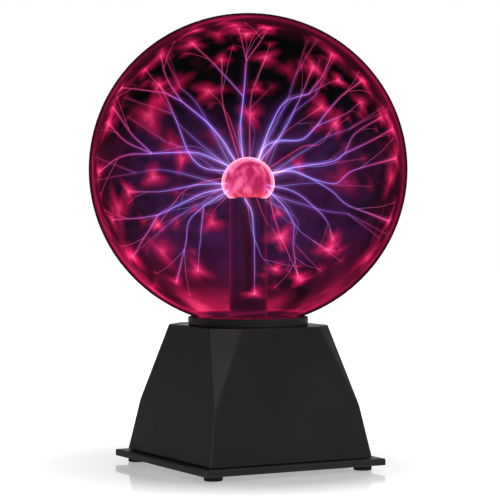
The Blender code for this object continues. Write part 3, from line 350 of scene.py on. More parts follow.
def inner_glass():
    """The globe's inner skin, where the discharge lands.

    Its near side only adds light. Its far side is opaque, the dark that the discharge is seen against.
    """
    material, tree = new_tree("globe_inner_glass")
    where = position(tree)
    edge = facing(tree)
    depth = math_node(tree, "SUBTRACT", GLOBE_MIDDLE, height_of(tree, where))
    depth = math_node(tree, "DIVIDE", depth, GLOBE_RADIUS)
    from_top = plus(tree, times(tree, depth, 0.5), 0.5)
    in_smoke = add(tree, "VectorMath", {0: where, 1: SMOKE_OFFSET}, operation="ADD").outputs[0]
    cloudy = ramp(tree, from_top, (0.07, 0.9), (0.15, 0.10), (0.36, 0.12), (0.55, 0.85))

    near_colour = gas_colour(tree, near_wisps(tree, where, in_smoke, edge, cloudy))
    far_clouds = times(tree, smoke(tree, in_smoke, 11.0, 0.56, 0.86), cloudy)
    far_clouds = times(tree, far_clouds, ramp(tree, edge, (0, 0.04), (0.38, 0.08), (0.75, 0.85)))
    far_colour = gas_colour(tree, plus(tree, far_clouds, bottom_fog(tree, where, edge, depth)))
    far_colour = mix_colours(tree, 1.0, far_colour, violet_haze(tree, where, edge, from_top), "ADD")

    near = over(tree, glow(tree, near_colour))
    far = glow(tree, far_colour)
    return end_material(material, mix_shaders(tree, behind(tree), far, near))


def near_wisps(tree, where, in_smoke, edge, cloudy):
    """Wisps and clouds of light that grow towards the rim, and an uneven ring of light round it."""
    rim = ramp(tree, edge, (0.2, 0), (0.5, 0.22), (0.75, 1.2))
    noise_here = texture(tree, in_smoke, 13.0, 2.5, 0.9)
    clouds = ramp(tree, plus(tree, noise_here, times(tree, edge, 0.17)), (0.60, 0), (0.88, 1))
    clouds = times(tree, clouds, cloudy)
    lines = times(tree, wisps(tree, where, 8.0, 0.03), 0.3)
    light = times(tree, plus(tree, lines, times(tree, clouds, 0.66)), rim)
    ring = ramp(tree, edge, (0.52, 0), (0.78, 0.24), (0.93, 0.12))
    ring = times(tree, ring, ramp(tree, noise_here, (0.3, 0.35), (0.7, 1.3)))
    return plus(tree, light, ring)


def bottom_fog(tree, where, edge, depth):
    """Fog low in the globe, drawn into upright curtains, and a bright seam where the neck begins."""
    low = ramp(tree, depth, (0.35, 0), (0.75, 0.26), (0.89, 0.92), (0.91, 0.35))
    seam = ramp(tree, depth, (0.886, 0), (0.898, 0.35), (0.91, 0))
    curtains = texture(tree, scaled(tree, where, (1, 1, 0.3)), 22.0, 2.0, 0.8)
    fog = times(tree, low, ramp(tree, curtains, (0.38, 0.06), (0.68, 0.8)))
    fog = times(tree, fog, ramp(tree, edge, (0.05, 0.12), (0.4, 1)))
    return plus(tree, fog, seam)


def violet_haze(tree, where, edge, from_top):
    """A mottled haze behind the electrode that leaves the top of the globe black."""
    middle, ring, outside = (0.080, 0.012, 0.084), (0.042, 0.008, 0.054), (0.024, 0.003, 0.024)
    haze = ramp(tree, edge, (0, middle), (0.16, ring), (0.45, outside), (0.7, NIGHT))
    amount = ramp(tree, from_top, (0.25, 0.04), (0.42, 0.75), (0.8, 1), (0.93, 0.3))
    mottle = ramp(tree, texture(tree, where, 38.0, 2.0, 1), (0.36, 0.5), (0.62, 1))
    return mix_colours(tree, times(tree, amount, mottle), BLACK, haze)


def bulb_glass():
    """The bulb's skin: clear, with a bright pale rim of light hugging it."""
    material, tree = new_tree("bulb_glass")
    rim = ramp(tree, facing(tree), (0.46, BLACK), (0.60, (1, 0.20, 0.32)), (0.85, PALE_PINK))
    return end_material(material, over(tree, glow(tree, rim, 0.7)))


def tube_glass():
    """The stem's skin: a dim crimson painted glow, more opaque near its foot, with painted crimson lines
    where it is seen edge on and streaks along it.
    """
    material, tree = new_tree("tube_glass")
    where = position(tree)
    streaks = texture(tree, scaled(tree, where, (1, 1, 0.04)), 260.0, 2.0)
    streaks = ramp(tree, streaks, (0.5, 0), (0.72, 0.22))
    edge = ramp(tree, facing(tree), (0.35, 0), (0.7, 0.35), (0.9, 1))
    # Painted glow: crimson light where the stem is seen edge on and along its streaks.
    light = times(tree, plus(tree, edge, streaks), 0.3)
    colour = mix_colours(tree, 1.0, light, CRIMSON, "MULTIPLY")
    up_tube = math_node(tree, "SUBTRACT", height_of(tree, where), FLARE_HIGH)
    up_tube = math_node(tree, "DIVIDE", up_tube, 4 * TUBE_RADIUS)
    # A dim crimson painted glow, which covers more of the stem towards its foot.
    dark = glow(tree, ramp(tree, up_tube, (0.1, (0.030, 0.0015, 0.014)), (0.7, (0.020, 0.0035, 0.022))))
    dim_share = ramp(tree, up_tube, (0.2, 0.9), (0.6, 0.42))
    dim_glass = mix_shaders(tree, dim_share, clear(tree), dark)
    return end_material(material, add_shaders(tree, dim_glass, glow(tree, colour)))


def flare_glass():
    """The stem's foot, lit crimson by the gas above it."""
    material, tree = new_tree("flare_glass")
    where = position(tree)
    clouds = smoke(tree, where, 60.0, 0.35, 0.75)
    colour = mix_colours(tree, clouds, DEEP_CRIMSON, CRIMSON)
    return end_material(material, glow(tree, colour, 0.55))


def lining():
    """The electrode's lining in a painted glow: coral, with paler and darker runs, redder below, pale at
    its rim.
    """
    material, tree = new_tree("electrode_lining")
    where = position(tree)
    patches = texture(tree, scaled(tree, where, (1, 1, 0.45)), 170.0, 2.0, 0.5)
    dark, coral, pale = (0.44, 0.018, 0.10), (0.71, 0.058, 0.19), (0.88, 0.17, 0.36)
    colour = ramp(tree, patches, (0.38, dark), (0.5, coral), (0.65, pale))
    low = math_node(tree, "SUBTRACT", BULB_MIDDLE, height_of(tree, where))
    low = ramp(tree, math_node(tree, "DIVIDE", low, BULB_RADIUS), (0.15, 0), (0.65, 1))
    redder = times(tree, low, ramp(tree, patches, (0.4, 0.6), (0.6, 1)))
    colour = mix_colours(tree, redder, colour, (0.80, 0.065, 0.045))
    # Painted light: a paler rim where the lining is seen edge on.
    rim = ramp(tree, facing(tree), (0.6, 0), (0.95, 0.6))
    colour = mix_colours(tree, rim, colour, (1.0, 0.3, 0.4))
    # Painted glow: the lining gives off light in its own colour.
    light = {"Metallic": 0.3, "Emission_Color": colour, "Emission_Strength": 0.95}
    return end_solid(material, colour, 0.4, (patches, 0.4), 0.3 * MM, **light)


def from_electrode(tree):
    """The distance from the electrode's middle, over the globe's radius."""
    away = add(tree, "VectorMath", {0: position(tree), 1: tuple(BULB_CENTRE)}, operation="DISTANCE")
    return math_node(tree, "DIVIDE", away.outputs["Value"], GLOBE_RADIUS)


def spark_colour(tree):
    """Violet-white by the electrode, violet through the gas, pink by the glass."""
    near_electrode = (0.18, (0.46, 0.36, 0.96))
    in_gas_colour = (0.40, (0.27, 0.32, 0.88))
    outer_gas = (0.68, (0.28, 0.19, 0.68))
    near_glass = (0.84, (0.52, 0.075, 0.30))
    at_glass = (0.95, (0.70, 0.055, 0.18))
    return ramp(tree, from_electrode(tree), near_electrode, in_gas_colour, outer_gas, near_glass, at_glass)


def halo_colour(tree):
    """The gas round a violet streamer: more magenta than the streamer itself."""
    violet, indigo, crimson = (0.60, 0.28, 1.0), (0.28, 0.07, 0.72), (0.55, 0.03, 0.20)
    return ramp(tree, from_electrode(tree), (0.18, violet), (0.5, indigo), (0.85, crimson))


def spark(name, colour_of, strength, softness):
    """A glowing thread, brightest where it is seen head on and fading out at its sides."""
    material, tree = new_tree(name)
    colour = colour_of(tree) if callable(colour_of) else colour_of
    head_on = math_node(tree, "SUBTRACT", 1.0, facing(tree))
    fade = times(tree, math_node(tree, "POWER", head_on, softness), strength)
    return end_material(material, over(tree, glow(tree, colour, fade)))


def pad_glow():
    """Where the discharge meets the glass: a pink heart in crimson smoke that fades outwards."""
    material, tree = new_tree("pad_glow")
    fade = add(tree, "Attribute", attribute_name="fade").outputs["Fac"]
    patches = texture(tree, position(tree), 45.0, 2.0, 1.2)
    patchy = ramp(tree, patches, (0.36, 0.15), (0.62, 1))
    heart = math_node(tree, "POWER", fade, 2.0)
    smoke_light = times(tree, math_node(tree, "POWER", fade, 1.25), patchy)
    light = plus(tree, heart, times(tree, smoke_light, 0.25))
    crimson, hottest = (0.36, 0.004, 0.05), (1.0, 0.14, 0.26)
    colour = ramp(tree, light, (0, BLACK), (0.4, crimson), (0.85, HOT_PINK), (1, hottest))
    return end_material(material, over(tree, glow(tree, colour, 0.76)))


# ---- Mesh helpers ----
def put(name, data, location=(0, 0, 0), rotation=(0, 0, 0)):
    obj = bpy.data.objects.new(name, data)
    obj.location = location
    obj.rotation_euler = rotation
    bpy.context.scene.collection.objects.link(obj)
    return obj


def piece(name, data, replaced=None, body=BASE, **place):
    """A visible piece that rides on a body. It may stand for a CAD node."""
    obj = put(name, data, **place)
    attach(obj, body)
    if replaced:
        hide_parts(replaced)
    return obj


def turned(name, profile, steps, closed=False):
    """A mesh of (radius, height) points swept round Z, smooth but for its sharp corners."""
    bm = bmesh.new()
    verts = [bm.verts.new((radius, 0, height)) for radius, height in profile]
    edges = [bm.edges.new(pair) for pair in zip(verts, verts[1:])]
    if closed:
        edges.append(bm.edges.new((verts[-1], verts[0])))
    sweep = {"axis": UP, "cent": (0, 0, 0), "angle": 2 * math.pi, "steps": steps}
    bmesh.ops.spin(bm, geom=verts + edges, use_merge=True, **sweep)
    bmesh.ops.remove_doubles(bm, verts=bm.verts, dist=0.005 * MM)
    bmesh.ops.recalc_face_normals(bm, faces=bm.faces)
    return shaded_mesh(name, bm, 40)


def shaded_mesh(name, bm, sharp_degrees):
    """Turns a bmesh into a mesh that is shaded smooth but for edges sharper than an angle."""
    mesh = bpy.data.meshes.new(name)
    bm.to_mesh(mesh)
    bm.free()
    for attribute in ("custom_normal", "sharp_edge", "sharp_face"):
        if attribute in mesh.attributes:
            mesh.attributes.remove(mesh.attributes[attribute])
    mesh.shade_smooth()
    mesh.set_sharp_from_angle(angle=math.radians(sharp_degrees))
    return mesh


def bend(start, corner, end, steps=6):
    """Points after start on the smooth curve that leaves towards corner and arrives at end."""
    points = []
    for i in range(1, steps + 1):
        t = i / steps
        a, b, c = (1 - t) ** 2, 2 * t * (1 - t), t * t
        points.append(tuple(a * p + b * q + c * r for p, q, r in zip(start, corner, end)))
    return points


def ellipse(radius, half_height, middle, first, last, steps):
    """(radius, height) points along an upright ellipse, from one angle above its middle to another."""
    points = []
    for i in range(steps + 1):
        angle = first + (last - first) * i / steps
        points.append((max(0.0, radius * math.cos(angle)), middle + half_height * math.sin(angle)))
    return points


# ---- Globe, stem and electrode ----
def globe_side(radius, half_height, neck):
    """One skin of the globe from its top down to the neck, which it bends into smoothly."""
    neck_bend = 2.4 * MM
    last = -math.acos((neck + neck_bend) / radius)
    points = ellipse(radius, half_height, GLOBE_MIDDLE, math.pi / 2, last, 64)
    start = points[-1]
    slope = (half_height / radius) ** 2 * start[0] / (GLOBE_MIDDLE - start[1])
    corner = (neck, start[1] - slope * (start[0] - neck))
    return points + bend(start, corner, (neck, corner[1] - neck_bend))


def make_globe():
    half_height = GLOBE_RADIUS * GLOBE_FLATNESS
    inner_neck = NECK_RADIUS - GLOBE_WALL
    outer = globe_side(GLOBE_RADIUS, half_height, NECK_RADIUS)
    inner = globe_side(INNER_RADIUS, half_height - GLOBE_WALL, inner_neck)
    rim = [(NECK_RADIUS, GLOBE_LOW.z), (inner_neck, GLOBE_LOW.z)]
    mesh = turned("globe", outer + rim + inner[::-1], 128)
    mesh.materials.append(outer_glass())
    mesh.materials.append(inner_glass())
    for face in mesh.polygons:
        towards_axis = face.normal.dot(CENTRE - face.center)
        face.material_index = 1 if towards_axis > 0 and face.center.z > GLOBE_LOW.z + GLOBE_WALL else 0
    piece("globe", mesh, "glass_globe")


def bulb_side(shrink, upper_steps=20, lower_steps=10):
    radius, lower = BULB_RADIUS - shrink, BULB_LOWER_HEIGHT - shrink
    upper_half = ellipse(radius, radius, BULB_MIDDLE, math.pi / 2, 0, upper_steps)
    last = -math.acos((TUBE_RADIUS - shrink) / radius)
    return upper_half + ellipse(radius, lower, BULB_MIDDLE, 0, last, lower_steps)[1:]


def make_stem():
    fillet = 4.0 * MM
    rim = NECK_RADIUS - GLOBE_WALL - 0.3 * MM
    bore = TUBE_RADIUS - TUBE_WALL
    start = (TUBE_RADIUS, FLARE_HIGH + fillet)
    outer = bulb_side(0) + [start]
    outer += bend(start, (TUBE_RADIUS, FLARE_HIGH), (TUBE_RADIUS + fillet, FLARE_HIGH))
    inner = bulb_side(TUBE_WALL) + [(bore, FLARE_LOW + fillet)]
    inner += bend(inner[-1], (bore, FLARE_LOW), (bore + fillet, FLARE_LOW))
    edge = [(rim, FLARE_HIGH), (rim, FLARE_LOW)]
    mesh = turned("stem", outer + edge + inner[::-1], 72)
    for material in (tube_glass(), bulb_glass(), flare_glass(), clear_inside()):
        mesh.materials.append(material)
    bulb_low = BULB_MIDDLE - BULB_LOWER_HEIGHT * 0.72
    for face in mesh.polygons:
        height, wide = face.center.z, math.hypot(face.center.x, face.center.y)
        outward = face.normal.dot(face.center - Vector((0, 0, min(height, BULB_MIDDLE)))) > 0
        if height < FLARE_HIGH + fillet / 2 and wide > bore:
            face.material_index = 2
        elif not outward:
            face.material_index = 3
        elif height > bulb_low:
            face.material_index = 1
    piece("stem", mesh, "glass_stem")


def clear_inside():
    """The stem's inner skin, which adds nothing but a faint painted crimson glow at its edge."""
    material, tree = new_tree("stem_inner_glass")
    edge = ramp(tree, facing(tree), (0.6, 0), (0.95, 0.05))
    colour = mix_colours(tree, 1.0, edge, CRIMSON, "MULTIPLY")
    return end_material(material, over(tree, glow(tree, colour)))


def make_lining():
    """The lining, with the slight dents of a hand-pushed filling."""
    outside = bulb_side(TUBE_WALL + 0.3 * MM, 28, 14)
    inside = bulb_side(TUBE_WALL + 1.1 * MM, 28, 14)
    inside[-1] = (inside[-1][0], outside[-1][1])
    mesh = turned("electrode_lining", outside + inside[::-1], 96)
    deepest, dents_a_metre = 0.12 * MM, 220.0
    for vertex in mesh.vertices:
        dent = noise.noise(vertex.co * dents_a_metre) * deepest
        vertex.co -= (vertex.co - BULB_CENTRE).normalized() * (deepest + dent)
    mesh.materials.append(lining())
    piece("electrode_lining", mesh, "electrode_liner")


# ---- Discharge ----
NEAR, FAR = 1, -1


def fork(points, *branches):
    """A stretch of a streamer, and the forks it splits into. With no forks, it ends on the glass.

    Points are hundredths of the globe's radius, across and up from its middle in the camera's view.
    """
    return [(across / 100, up / 100) for across, up in points], branches


def near(points, *branches):
    return NEAR, fork(points, *branches)


def far(points, *branches):
    return FAR, fork(points, *branches)


VIOLET_STREAMERS = [
    near(
        [(-3, 7), (-5, 24), (-3, 46)],
        fork([(-19, 63), (-35, 80)]),
        fork([(-1, 68)], fork([(-6, 90)]), fork([(-1, 86)]), fork([(8, 80), (13, 91)])),
    ),
    near(
        [(-9, 7), (-21, 25), (-42, 43)],
        fork([(-52, 48)], fork([(-65, 64)]), fork([(-67, 50), (-81, 53)])),
        fork([(-51, 57), (-55, 73)]),
    ),
    near(
        [(-13, 3), (-27, 9), (-39, 11), (-61, 10)],
        fork([(-72, 21), (-86, 40)]), fork([(-76, 17), (-89, 30)]), fork([(-80, 8), (-95, -2)]),
    ),
    far([(-15, 0), (-30, 2), (-39, 12), (-46, 30), (-53, 46), (-60, 60)]),
    near([(-16, -9), (-33, -10), (-52, -14), (-74, -15)]),
    near(
        [(-16, -12), (-33, -17), (-57, -29)],
        fork([(-64, -41), (-73, -57)]), fork([(-72, -31), (-86, -33)]),
    ),
    near(
        [(-15, -14), (-28, -23)],
        fork([(-37, -33), (-39, -47), (-45, -73)]), fork([(-30, -46), (-31, -65)]),
    ),
    near(
        [(-2, -17), (2, -27), (4, -44)],
        fork([(4, -62), (4, -80)]), fork([(9, -55), (17, -64)]),
    ),
    near(
        [(14, -13), (23, -24), (29, -35)],
        fork([(28, -49), (31, -70)]), fork([(36, -42), (50, -52)]),
    ),
    near([(15, -10), (28, -14), (40, -23), (49, -33), (52, -45)]),
    near(
        [(15, -3), (28, 1), (53, 5), (61, 10)],
        fork([(67, 22), (84, 33)]), fork([(76, 17), (92, 26)]),
    ),
    near(
        [(15, -2), (28, -1), (41, -6)],
        fork([(53, -14), (64, -23), (90, -34)]), fork([(55, -9), (66, -1), (94, 7)]),
    ),
    near(
        [(7, 7), (11, 15), (20, 18), (34, 19), (43, 27)],
        fork([(56, 43), (72, 57)]), fork([(60, 34), (70, 42)]),
    ),
    near(
        [(7, 8), (16, 31), (25, 43), (38, 47)],
        fork([(47, 59), (53, 74)]), fork([(48, 52), (56, 56)]),
    ),
    far([(10, 10), (22, 24), (33, 45), (44, 72)]),
]

PINK_STREAMERS = [
    near([(-5, 20), (-13, 34), (-24, 48)]),
    near([(1, 9), (2, 45), (11, 70)]),
    far([(-7, 10), (-16, 42), (-18, 78)]),
    near([(-15, -15), (-21, -26), (-22, -35)]),
    near([(7, -19), (11, -32), (20, -44)]),
    near([(12, 5), (20, 20), (45, 38)]),
    far([(14, 2), (35, 15), (48, 18), (60, 34)]),
    far([(-14, -4), (-40, -12), (-62, -38)]),
    far([(10, -12), (20, -40), (36, -76)]),
]

# Light with no streamer to be seen, in hundredths too: across, up, side, size and brightness.
LOOSE_PATCHES = [
    (-20, 93, FAR, 10, 80),
    (-33, 90, NEAR, 9, 95),
    (-8, 93, NEAR, 10, 95),
    (10, 91, NEAR, 8, 90),
    (88, 34, NEAR, 11, 92),
    (-46, 63, FAR, 11, 62),
    (-67, 39, FAR, 17, 85),
    (-60, 50, FAR, 13, 70),
    (6, 59, FAR, 8, 80),
    (27, 71, FAR, 10, 60),
    (72, 58, NEAR, 10, 90),
    (90, -6, NEAR, 12, 85),
    (-58, -6, NEAR, 10, 90),
    (-40, 5, NEAR, 8, 90),
    (-81, -26, NEAR, 14, 85),
    (-53, -53, NEAR, 13, 90),
    (-75, -57, NEAR, 15, 88),
    (18, -29, NEAR, 6, 88),
    (76, -58, NEAR, 15, 88),
    (-88, 29, NEAR, 12, 92),
    (2, 33, NEAR, 9, 88),
    (-53, 20, FAR, 12, 75),
    (35, 6, FAR, 7, 75),
    (65, -5, FAR, 15, 60),
]

# More run every way, so that the globe isn't empty when it is seen from the side.
EXTRA_STREAMERS = 16

TRUNK_RADIUS = 0.48 * MM
BRANCH_SHARE = 0.66
HALO_WIDTH = 5.5
GLASS_SHARE = 0.985  # how far out a streamer's end lies, over the inner glass's radius


def onto_glass(direction):
    """The point just inside the glass in a direction from the globe's middle."""
    unit = direction.normalized()
    return CENTRE + Vector((unit.x, unit.y, unit.z * GLOBE_FLATNESS)) * INNER_RADIUS * GLASS_SHARE


def on_glass(across, up, side):
    """The point just inside the glass that is seen at a place on the globe's disc."""
    toward = side * math.sqrt(max(0.0, 1 - across**2 - up**2))
    return onto_glass(ACROSS * across + UP * up + TOWARD * toward)


def in_gas(across, up, lean):
    """A point of the gas. Its depth grows with its distance from the axis of sight, by lean."""
    toward = lean * math.hypot(across, up)
    return CENTRE + (ACROSS * across + UP * up + TOWARD * toward) * INNER_RADIUS


def ends_of(stretch):
    points, branches = stretch
    return [points[-1]] if not branches else [end for branch in branches for end in ends_of(branch)]


def mean_lean(side, stretch):
    """How steeply a streamer comes forward, so that it meets the glass where its ends do."""
    shallowest, steepest, held_back = 0.05, 1.6, 0.8
    leans = []
    for across, up in ends_of(stretch):
        out = max(0.2, math.hypot(across, up))
        leans.append(math.sqrt(max(shallowest, 1 - out**2)) / out)
    return side * min(steepest, sum(leans) / len(leans)) * held_back


def stretch_paths(stretch, side, lean, start, level=0):
    """Every stretch as (points in space, level, whether it ends on the glass). A trunk's level is 0."""
    points, branches = stretch
    places = [] if start is None else [start]
    for i, (across, up) in enumerate(points, 1):
        place = in_gas(across, up, lean)
        if not branches and i == len(points):
            place = on_glass(across, up, side)
        elif not branches and start is not None:
            first = (start - CENTRE).dot(TOWARD)
            last = (on_glass(*points[-1], side) - CENTRE).dot(TOWARD)
            place = in_gas(across, up, 0) + TOWARD * (first + (last - first) * i / len(points))
        places.append(place)
    paths = [(places, level, not branches)]
    for branch in branches:
        paths += stretch_paths(branch, side, lean, places[-1], level + 1)
    return paths


def smooth_path(points, steps, unrest, waves, phase):
    """Points on a Catmull-Rom curve through the given ones, with some unrest of so many waves a metre.

    Another phase gives another strand between the same ends.
    """
    knots = [Vector(p) for p in points]
    knots = [2 * knots[0] - knots[1], *knots, 2 * knots[-1] - knots[-2]]
    spans = len(knots) - 3
    path = []
    for i in range(steps * spans + 1):
        along = min(i / steps, spans - 1e-9)
        k, t = int(along), along - int(along)
        a, b, c, d = knots[k : k + 4]
        square, cube = 2 * a - 5 * b + 4 * c - d, 3 * b - a - 3 * c + d
        place = (2 * b + (c - a) * t + square * t**2 + cube * t**3) / 2
        sway = math.sin(math.pi * i / (steps * spans)) * unrest
        path.append(place + noise.noise_vector(place * waves + UP * phase) * sway)
    return path


def start_on_bulb(path):
    """Moves the first point onto the electrode's skin, on the line towards the second."""
    first = BULB_CENTRE + (path[0] - BULB_CENTRE).normalized() * BULB_RADIUS * 1.01
    return [first, *path[1:]]


def random_streamers(count):
    """Streamers every way but down the stem, each bent upwards and forked once."""
    chance = random.Random(SEED)
    paths = []
    golden = math.pi * (3 - math.sqrt(5))
    highest, drop = 0.93, 1.6
    for i in range(count):
        height = highest - drop * (i + 0.5) / count
        turn = golden * i + chance.uniform(-0.2, 0.2)
        flat = math.sqrt(1 - height**2)
        direction = Vector((flat * math.cos(turn), flat * math.sin(turn), height))
        side = direction.cross(UP).normalized()
        end = onto_glass(direction)
        leaves = (direction * 0.7 + side * chance.uniform(-0.3, 0.3)).normalized()
        start = BULB_CENTRE + leaves * BULB_RADIUS
        middle = start.lerp(end, 0.45) + side * chance.uniform(-9, 9) * MM + UP * chance.uniform(-2, 7) * MM
        split = start.lerp(end, 0.68) + side * chance.uniform(-7, 7) * MM + UP * chance.uniform(0, 5) * MM
        paths.append(([start, middle, split], 0, False))
        for way in (-1, 1):
            tip = direction + side * way * chance.uniform(0.06, 0.16) + UP * chance.uniform(-0.08, 0.12)
            paths.append(([split, onto_glass(tip)], 1, True))
    return paths


def twigs(paths):
    """Fine side shoots, each from a streamer's last stretch to the glass beside its end."""
    chance = random.Random(SEED + 2)
    shoots = []
    for points, _, at_glass in paths:
        for _ in range(chance.choice((1, 1, 2)) if at_glass else 0):
            start = points[-2].lerp(points[-1], chance.uniform(0.1, 0.5))
            out = (points[-1] - CENTRE).normalized()
            side = out.cross(UP).normalized()
            turn = chance.uniform(0, 2 * math.pi)
            sideways = side * math.cos(turn) + out.cross(side) * math.sin(turn)
            end = onto_glass(out + sideways * chance.uniform(0.08, 0.18))
            middle = start.lerp(end, 0.5) + (points[-1] - points[-2]) * 0.08
            shoots.append(([start, middle, end], 1, True))
    return shoots


def thread_curve(name, paths, material, width, flare, unrest=0.5 * MM, waves=70.0, phase=0.0):
    """One curve object of tapering threads. flare widens the last fifth, where they meet the glass."""
    steps, flare_start = 9, 0.8
    curve = bpy.data.curves.new(name, "CURVE")
    curve.dimensions = "3D"
    curve.bevel_depth = TRUNK_RADIUS * width
    curve.bevel_resolution = 2
    for points, level, at_glass in paths:
        smooth = smooth_path(start_on_bulb(points) if level == 0 else points, steps, unrest, waves, phase)
        spline = curve.splines.new("POLY")
        count = len(smooth) - 1
        spline.points.add(count)
        thick, thin = BRANCH_SHARE**level, BRANCH_SHARE ** (level + 1)
        for i, (point, place) in enumerate(zip(spline.points, smooth)):
            share = i / count
            point.co = (*place, 1)
            point.radius = thick + (thin - thick) * share
            if at_glass and share > flare_start:
                point.radius *= 1 + flare * ((share - flare_start) / (1 - flare_start)) ** 2
    curve.materials.append(material)
    return piece(name, curve)


def pad_mesh(pads):
    """A soft-edged patch on the glass for each of (place, size, brightness, arrival).

    It is drawn out across the way its streamer arrives, or along a chance way where none does.
    """
    chance = random.Random(SEED + 1)
    rings, spokes = 6, 24
    verts, faces, fades = [], [], []
    for tip, size, brightness, arrival in pads:
        normal = (tip - CENTRE).normalized()
        first = normal.cross(UP).normalized()
        second = normal.cross(first)
        turn = chance.uniform(0, math.pi)
        along = first * math.cos(turn) + second * math.sin(turn)
        if arrival is not None:
            along = normal.cross(arrival).normalized()
        across = normal.cross(along)
        stretch = chance.uniform(0.9, 1.4)
        base = len(verts)
        verts.append(tip)
        fades.append(brightness)
        for ring in range(1, rings + 1):
            for spoke in range(spokes):
                angle = 2 * math.pi * spoke / spokes
                ragged = 1 + 0.25 * math.sin(3 * angle + turn) + 0.12 * math.sin(5 * angle)
                reach = size * ring / rings * ragged
                place = tip + along * math.cos(angle) * reach * stretch + across * math.sin(angle) * reach
                verts.append(onto_glass(place - CENTRE))
                fades.append(brightness * (1 - ring / rings))
        for spoke in range(spokes):
            after = (spoke + 1) % spokes
            faces.append((base, base + 1 + spoke, base + 1 + after))
            for ring in range(rings - 1):
                inner, outer = base + 1 + ring * spokes, base + 1 + (ring + 1) * spokes
                faces.append((inner + spoke, outer + spoke, outer + after, inner + after))
    mesh = bpy.data.meshes.new("discharge_pads")
    mesh.from_pydata([tuple(v) for v in verts], [], faces)
    fade = mesh.attributes.new("fade", "FLOAT", "POINT")
    fade.data.foreach_set("value", fades)
    mesh.shade_smooth()
    return mesh


def make_threads(violet, pink, dim, fine):
    """Bright cores in soft halos, and two looser strands and a mist round the violet trunks."""
    trunks = [path for path in violet if path[1] < 2 and not path[2]]
    core_pink, halo_pink = (0.65, 0.06, 0.20), (0.6, 0.03, 0.16)
    for name, paths, colour, strength, softness, width, flare in (
        ("violet_cores", violet, spark_colour, 0.44, 1.0, 0.95, 3.5),
        ("violet_halos", violet, halo_colour, 0.13, 2.5, HALO_WIDTH, 2.5),
        ("violet_mist", trunks, halo_colour, 0.028, 3.0, 3 * HALO_WIDTH, 0.0),
        ("pink_cores", pink, core_pink, 0.5, 1.0, 0.55, 3.5),
        ("pink_halos", pink, halo_pink, 0.14, 2.5, 0.55 * HALO_WIDTH, 3.5),
        ("dim_cores", dim, spark_colour, 0.18, 1.5, 0.8, 1.0),
        ("dim_halos", dim, halo_colour, 0.06, 2.5, HALO_WIDTH, 2.5),
        ("twigs", fine, spark_colour, 0.4, 1.0, 0.6, 0.8),
    ):
        thread_curve(name, paths, spark(name, colour, strength, softness), width, flare)
    unrest, waves = 7.0 * MM, 22.0
    for number in range(1, 3):
        name = f"violet_strands_{number}"
        strand = spark(name, spark_colour, 0.22, 1.0)
        thread_curve(name, trunks, strand, 0.45, 0.0, unrest, waves, phase=3.0 * number)


def make_pads(violet, pink, dim, fine):
    """The light on the glass: a pad where each thread ends, and the loose patches."""
    chance = random.Random(SEED + 3)
    groups = {"loose_pads": []}
    for across, up, side, size, bright in LOOSE_PATCHES:
        place = on_glass(across / 100, up / 100, side)
        groups["loose_pads"].append((place, size / 100 * GLOBE_RADIUS, bright / 100, None))
    for name, threads, smallest, largest, strength in (
        ("violet_pads", violet, 7 * MM, 11 * MM, 1.0),
        ("pink_pads", pink, 8 * MM, 12 * MM, 1.0),
        ("dim_pads", dim, 6 * MM, 8 * MM, 0.34),
        ("twig_pads", fine, 3.5 * MM, 6 * MM, 0.56),
    ):
        groups[name] = []
        for points, _, at_glass in threads:
            if at_glass:
                size, bright = chance.uniform(smallest, largest), strength * chance.uniform(0.85, 1.0)
                groups[name].append((points[-1], size, bright, points[-1] - points[-2]))
    light = pad_glow()
    for name, pads in groups.items():
        mesh = pad_mesh(pads)
        mesh.materials.append(light)
        piece(name, mesh)


def make_discharge():
    violet, pink = [], []
    for group, paths in ((VIOLET_STREAMERS, violet), (PINK_STREAMERS, pink)):
        for side, stretch in group:
            paths += stretch_paths(stretch, side, mean_lean(side, stretch), None)
    dim = random_streamers(EXTRA_STREAMERS)
    fine = twigs(violet + pink)
    make_threads(violet, pink, dim, fine)
    make_pads(violet, pink, dim, fine)


# ---- Turned pieces of the base ----
def make_collar(finish):
    """The collar with softly rounded edges."""
    low, high, radius, soft = COLLAR_LOW.z, COLLAR_HIGH.z, COLLAR_HIGH.x, 0.7 * MM
    bore, skirt = 36.2 * MM, 37.1 * MM
    seat = HOUSING_HIGH.z + 0.3 * MM
    profile = [(bore, high - soft)]
    profile += bend(profile[-1], (bore, high), (bore + soft, high))
    profile += [(radius - soft, high)]
    profile += bend(profile[-1], (radius, high), (radius, high - soft))
    profile += [(radius, seat + soft / 2), (radius - soft / 2, seat)]
    profile += [(skirt, seat), (skirt, low), (bore, low)]
    mesh = turned("collar", profile, 128, closed=True)
    mesh.materials.append(finish)
    piece("collar", mesh, "collar_ring")


def make_feet(finish):
    """Rubber feet with a rounded lower edge and a shallow hollow underneath."""
    for number in range(1, 5):
        node = f"rubber_foot_{number}"
        low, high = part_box(node)
        radius, soft = (high.x - low.x) / 2, 0.8 * MM
        hollow = low.z + 0.4 * MM
        profile = [(0, high.z), (radius - 0.2 * MM, high.z)]
        profile += [(radius, high.z - 0.3 * MM), (radius, low.z + soft)]
        profile += bend(profile[-1], (radius, low.z), (radius - soft, low.z))
        profile += [(0.55 * radius, low.z)]
        profile += bend(profile[-1], (0.45 * radius, low.z), (0.4 * radius, hollow))
        profile += [(0, hollow)]
        mesh = turned(f"foot_{number}", profile, 48)
        mesh.materials.append(finish)
        middle = (low + high) / 2
        piece(f"foot_{number}", mesh, node, location=(middle.x, middle.y, 0))


